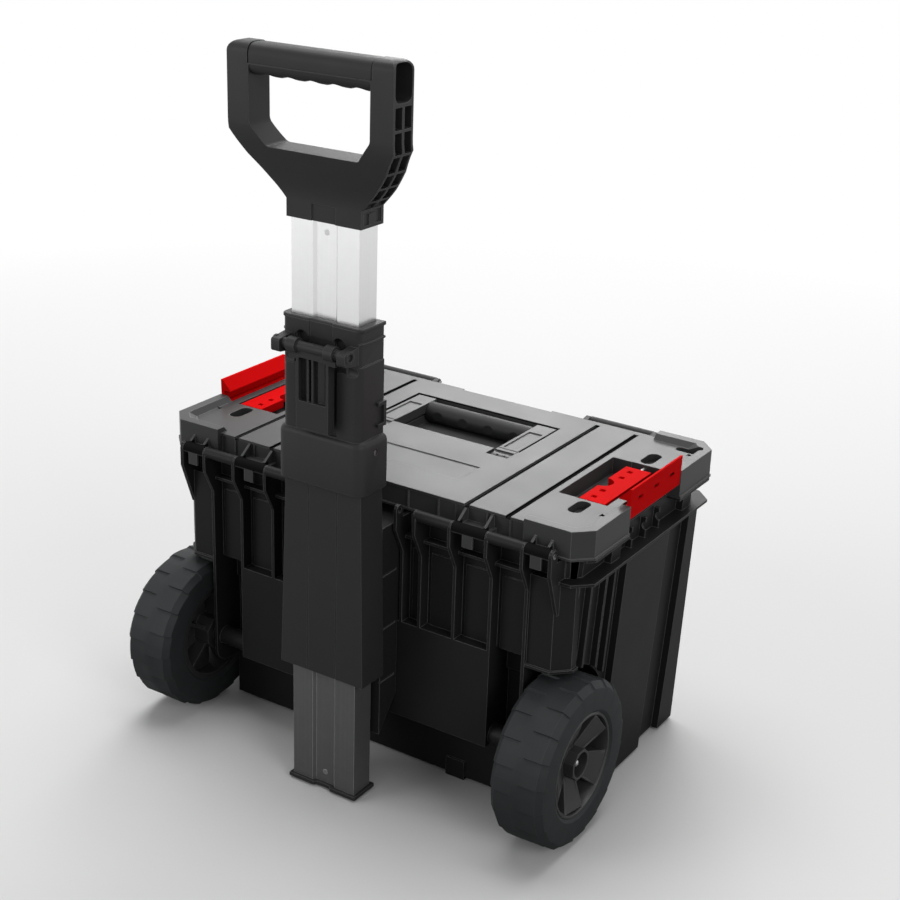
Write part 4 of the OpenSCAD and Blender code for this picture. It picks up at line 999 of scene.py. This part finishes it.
@dataclass
class Wheel:
    """Wheel on a stub axle: tyre with stepped tread blocks, five-spoke rim and steel cap.

    root and nose are radius and distance behind the outer face, cup is radius and depth, and dome is
    radius and height of its middle. Turns are in degrees, and fall, half the angle in which a step comes
    back up, is in radians.
    """

    side: Side
    centre: Pair = (114.6, 76.5)
    radius: float = 76.5
    face_radius: float = 71.3
    bead_radius: float = 48.0
    outer: float = 231.0
    width: float = 52.0
    shoulder: float = 6.0
    bead: float = 2.2
    blocks: int = 20
    step: float = 1.8
    fall: float = 0.004
    hub_sides: int = 8
    root: Pair = (17.0, 14.0)
    nose: Pair = (14.6, 3.6)
    cup: Pair = (11.6, 17.0)
    bore: float = 5.1
    spokes: int = 5
    spoke_turn: float = -23.5
    web_turn: float = 12.5
    spoke_low: float = 12.0
    cap_foot: float = 6.5
    dome: Pair = (4.0, 6.6)
    pinhole: float = 0.3

    @property
    def inner(self) -> float:
        """X of the inner face."""
        return self.outer - self.width

    def section(self, turn: float, first: float, second: float) -> list[Point]:
        """Place the tyre's section.

        Args:
            turn: Angle round the axis, in radians.
            first: Drop of the inner row's block here.
            second: Drop of the outer row's block here.

        Returns:
            The section's points.
        """

        def half(drop: float, face: float, way: int) -> Outline:
            """Radius and X of one half, from the bead to the middle of the tread."""
            tread = self.radius - drop
            points = ((self.bead_radius, self.bead), (self.bead_radius + 3, 0), (self.face_radius - 4, 0),
                      (self.face_radius - drop, 0.6), (tread, self.shoulder), (tread, self.width * 0.38),
                      (self.radius - 0.25, self.width * 0.44))
            return [(r, face + way * inset) for r, inset in points]

        rows = [*half(first, self.inner, 1), *reversed(half(second, self.outer, -1))]
        y, z = self.centre
        return [(x, y + r * cos(turn), z + r * sin(turn)) for r, x in rows]

    def tyre(self) -> Piece:
        """Build the tyre from two staggered rows of stepped blocks.

        Returns:
            Its piece.
        """
        rings = []
        for n in range(self.blocks * 2):
            for share, nudge in ((0.0, self.fall), (0.5, 0.0), (1.0, -self.fall)):
                drops = [self.step * (m % 2 + share) / 2 for m in (n, n + 1)]
                rings.append(self.section(pi * (n + share) / self.blocks + nudge, *drops))
        return self.fitted(Form().rings(rings, closed=True), "tyre_{}_tread", Finish.TYRE, "tyre_{}")

    def disc(self, radius: float, low: float, high: float, steps: int = 32) -> Form:
        """Round bar on the wheel's axis, between two places in X."""
        return Form().rod("x", self.centre, radius, low, high, steps)

    def barrel(self) -> Form:
        """Turn the rim's barrel with its lip."""
        r, low, lip = self.bead_radius, self.inner + 2.4, self.outer - self.bead
        return Form().lathe([(r, low), (r, lip), (r - 1, lip + 0.9), (r - 2.6, lip + 0.6),
                             (r - 4.2, lip - 4), (r - 4.6, low)], self.centre, 96)

    def hub(self) -> Form:
        """Build the many-sided hub with its cup and bore.

        Returns:
            The hub's form.
        """
        form = self.disc(self.root[0], self.inner, self.outer - self.root[1], self.hub_sides)
        form += self.disc(self.nose[0], self.outer - 30, self.outer - self.nose[1], self.hub_sides)
        form = form.turned(180 / self.hub_sides, self.centre)
        form -= self.disc(self.cup[0], self.outer - self.cup[1], self.outer, 48)
        return form - self.disc(self.bore, self.inner - 1, self.outer)

    def rim(self) -> Piece:
        """Build the rim: barrel, hub, sloping spokes and the webs behind them.

        Returns:
            Its piece.
        """
        y, z = self.centre
        form = self.hub()
        for n in range(self.spokes):
            turn = 360 / self.spokes * n
            form += self.spoke().turned(turn + self.spoke_turn, self.centre)
            web = Form().block((self.inner + 6, self.inner + 22), (y - 1.5, y + 1.5),
                               (z + self.spoke_low, z + self.bead_radius - 2))
            form += web.turned(turn + self.web_turn, self.centre)
        return self.fitted(self.barrel() + form, "rim_{}_spokes", Finish.RIM, "rim_{}")

    def spoke(self) -> Form:
        """Build one spoke that points up from the hub, its face sloping in towards the hub.

        Returns:
            The spoke's form, with a raised edge along each side.
        """
        y, z = self.centre
        low, high, end = self.spoke_low, self.bead_radius - 6.0, self.bead_radius - 2.5

        def wedge(*ends: tuple[Pair, Pair, float]) -> Form:
            """Bar, with depths under the outer face, sides and distance from the axis for each end."""
            return Form().taper(*(((self.outer - back, self.outer - face), (y + left, y + right), z + r)
                                  for (back, face), (left, right), r in ends))

        form = wedge(((34.0, 15.0), (-8.2, 8.2), low), ((34.0, 2.6), (-14.6, 14.6), high))
        form += wedge(((34.0, 14.0), (-13.0, 13.0), high - 2), ((34.0, 14.0), (-13.6, 13.6), end))
        for s in (-1, 1):
            root, tip = ((s * middle - 0.8, s * middle + 0.8) for middle in (8.6, 16.0))
            form += wedge(((21.4, 13.4), root, low), ((9.8, 1.8), tip, end))
        return form

    def cap(self) -> Piece:
        """Build the domed steel cap on the axle's end, with its flat ring round the dome.

        Returns:
            Its piece.
        """
        foot = self.outer - self.cup[1]
        r, rise = self.dome
        turns = [radians(15 * n) for n in range(6)]
        dome = ((r * cos(turn), rise + r * sin(turn)) for turn in turns)
        points = ((self.pinhole, 0), (self.cap_foot, 0), (self.cap_foot, 0.9), (self.cap_foot - 0.3, 1.2),
                  (r, 1.4), *dome, (self.pinhole, rise + r))
        profile = [(radius, foot + height) for radius, height in points]
        return self.fitted(Form().lathe(profile, self.centre), "cap_{}_dome", Finish.STEEL, "hub_cap_{}")

    def fitted(self, form: Form, name: str, finish: Finish, node: str) -> Piece:
        """Turn a form of the left wheel into a piece of this one.

        Args:
            form: The form.
            name: Name of the piece, with {} for the side.
            finish: Its finish.
            node: CAD node that it stands for, with {} for the side.

        Returns:
            The piece.
        """
        if self.side is Side.RIGHT:
            form.mirrored()
        word = self.side.value
        return form.piece(name.format(word), f"wheel_{word}", finish, node.format(word))

    def build(self) -> list[Piece]:
        """Build the wheel's pieces."""
        return [self.tyre(), self.rim(), self.cap()]


@dataclass(frozen=True)
class Lamp:
    """Soft rectangular lamp.

    place and aim are in metres, size is width and height, and power is in watts.
    """

    name: str
    place: Point
    size: Pair
    power: float
    aim: Point = (0.0, 0.0, 0.25)

    def hang(self) -> None:
        """Put the lamp into the scene."""
        light = bpy.data.lights.new(self.name, "AREA")
        light.shape, light.size, light.size_y, light.energy = "RECTANGLE", *self.size, self.power
        made = bpy.data.objects.new(self.name, light)
        made.location = self.place
        made.rotation_mode = "QUATERNION"
        made.rotation_quaternion = (Vector(self.aim) - Vector(self.place)).to_track_quat("-Z", "Y")
        bpy.context.scene.collection.objects.link(made)


@dataclass
class Studio:
    """Pale floor, white surroundings, plain soft lamps and the camera of the photograph.

    camera_turn is degrees about X, Y and Z. floor_colour is the floor as the camera sees it and
    floor_bounce as it lights the box. fade is the distances at which the floor starts to fade and is
    white, and ambient the strength of the surroundings where they only light.
    """

    lens: float = 66.21
    camera_place: Point = (-0.77953, 1.1769, 0.85774)
    camera_turn: Point = (68.0321, -1.7875, -146.8875)
    floor_radius: float = 12.0
    floor_drop: float = 0.0003
    floor_colour: Colour = (0.79, 0.79, 0.79)
    floor_bounce: Colour = (0.3, 0.3, 0.3)
    fade: Pair = (0.55, 1.85)
    ambient: float = 0.25
    lamps: tuple[Lamp, ...] = (
        Lamp("far_softbox", (1.05, -2.3, 1.4), (1.1, 0.7), 16),
        Lamp("overhead", (0.35, -0.6, 2.6), (2.2, 2.2), 52, (0.0, 0.0, 0.2)),
        Lamp("near_softbox", (1.5, 2.0, 0.9), (1.2, 1.2), 11, (0.0, 0.0, 0.3)),
        Lamp("right_softbox", (-1.9, 0.9, 1.2), (0.9, 0.9), 9))

    def camera(self) -> None:
        """Place the camera where the photograph was taken from."""
        lens = bpy.data.cameras.new("camera")
        lens.lens, lens.sensor_width = self.lens, 36.0
        lens.clip_start, lens.clip_end = 0.05, 60.0
        made = bpy.data.objects.new("camera", lens)
        made.location = self.camera_place
        made.rotation_euler = [radians(turn) for turn in self.camera_turn]
        bpy.context.scene.collection.objects.link(made)
        bpy.context.scene.camera = made

    def floor(self) -> Piece:
        """Lay the floor, which fades to white away from the box.

        Returns:
            The floor.
        """
        work = bmesh.new()
        bmesh.ops.create_circle(work, cap_ends=True, radius=self.floor_radius, segments=96)
        made = placed("floor", work)
        work.free()
        made.location = (0, 0, -self.floor_drop)
        material = bpy.data.materials.new("floor_white")
        board = Board(material)
        start, end = self.fade
        away = board.node("ShaderNodeVectorMath", {"operation": "LENGTH"}, {0: board.place()}, out="Value")
        fade = ((away - start) / (end - start)).clipped() * board.seen()
        tone = board.mix(board.ray("Camera"), self.floor_bounce, self.floor_colour)
        diffuse = board.node("ShaderNodeBsdfDiffuse", None, {"Color": tone})
        white = board.node("ShaderNodeEmission", None, {"Color": (1.0, 1.0, 1.0), "Strength": 1.0})
        board.surface(board.node("ShaderNodeMixShader", None, {0: fade, 1: diffuse, 2: white}))
        made.data.materials.append(material)
        return made

    def world(self) -> None:
        """Make the surroundings white where they are seen and dimmer where they only light."""
        world = bpy.data.worlds.new("studio")
        bpy.context.scene.world = world
        board = Board(world)
        strength = (board.seen() + self.ambient).clipped()
        shade = board.node("ShaderNodeBackground", None, {"Color": (1.0, 1.0, 1.0), "Strength": strength})
        board.node("ShaderNodeOutputWorld", None, {"Surface": shade})

    def build(self) -> list[Piece]:
        """Set up the studio.

        Returns:
            The floor.
        """
        self.camera()
        self.world()
        for lamp in self.lamps:
            lamp.hang()
        bpy.context.scene.view_settings.view_transform = "Standard"
        return [self.floor()]


def pairs(*names: str) -> list[str]:
    """Names of the nodes that stand on both sides."""
    return [f"{name}_{side.value}" for name in names for side in Side]


PLAIN = {
    Finish.TUB: ("tub", "mast_bracket"),
    Finish.HOUSING: ("mast_sleeve", "cable_hook", "mast_end_cap", *pairs("latch")),
    Finish.LID: ("lid_shell", "carry_frame"),
    Finish.GRIP: ("carry_grip",),
    Finish.SEAL: ("lid_seal",),
    Finish.RED: pairs("clip", "lever"),
    Finish.STEEL: (*pairs("axle", "hinge_pin", "latch_pin", "lever_rod", "clip_rod"), "handle_pins",
                   "release_rod", "lock_pin", "head_screws", "mast_screws"),
    Finish.ALUMINIUM: ("mast_tube",),
}


def main() -> None:
    """Build the studio and each sub-assembly in order, and log each piece's name."""
    logging.basicConfig(level=logging.INFO, format="%(name)s: %(message)s")
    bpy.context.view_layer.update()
    for assembly in (Studio(), Plain(PLAIN), PullHandle(), MastHead(), Wheel(Side.LEFT), Wheel(Side.RIGHT)):
        for piece in assembly.build():
            log.info("%s: %s", type(assembly).__name__, piece.name)
    bpy.context.view_layer.update()


if __name__ == "__main__":
    main()
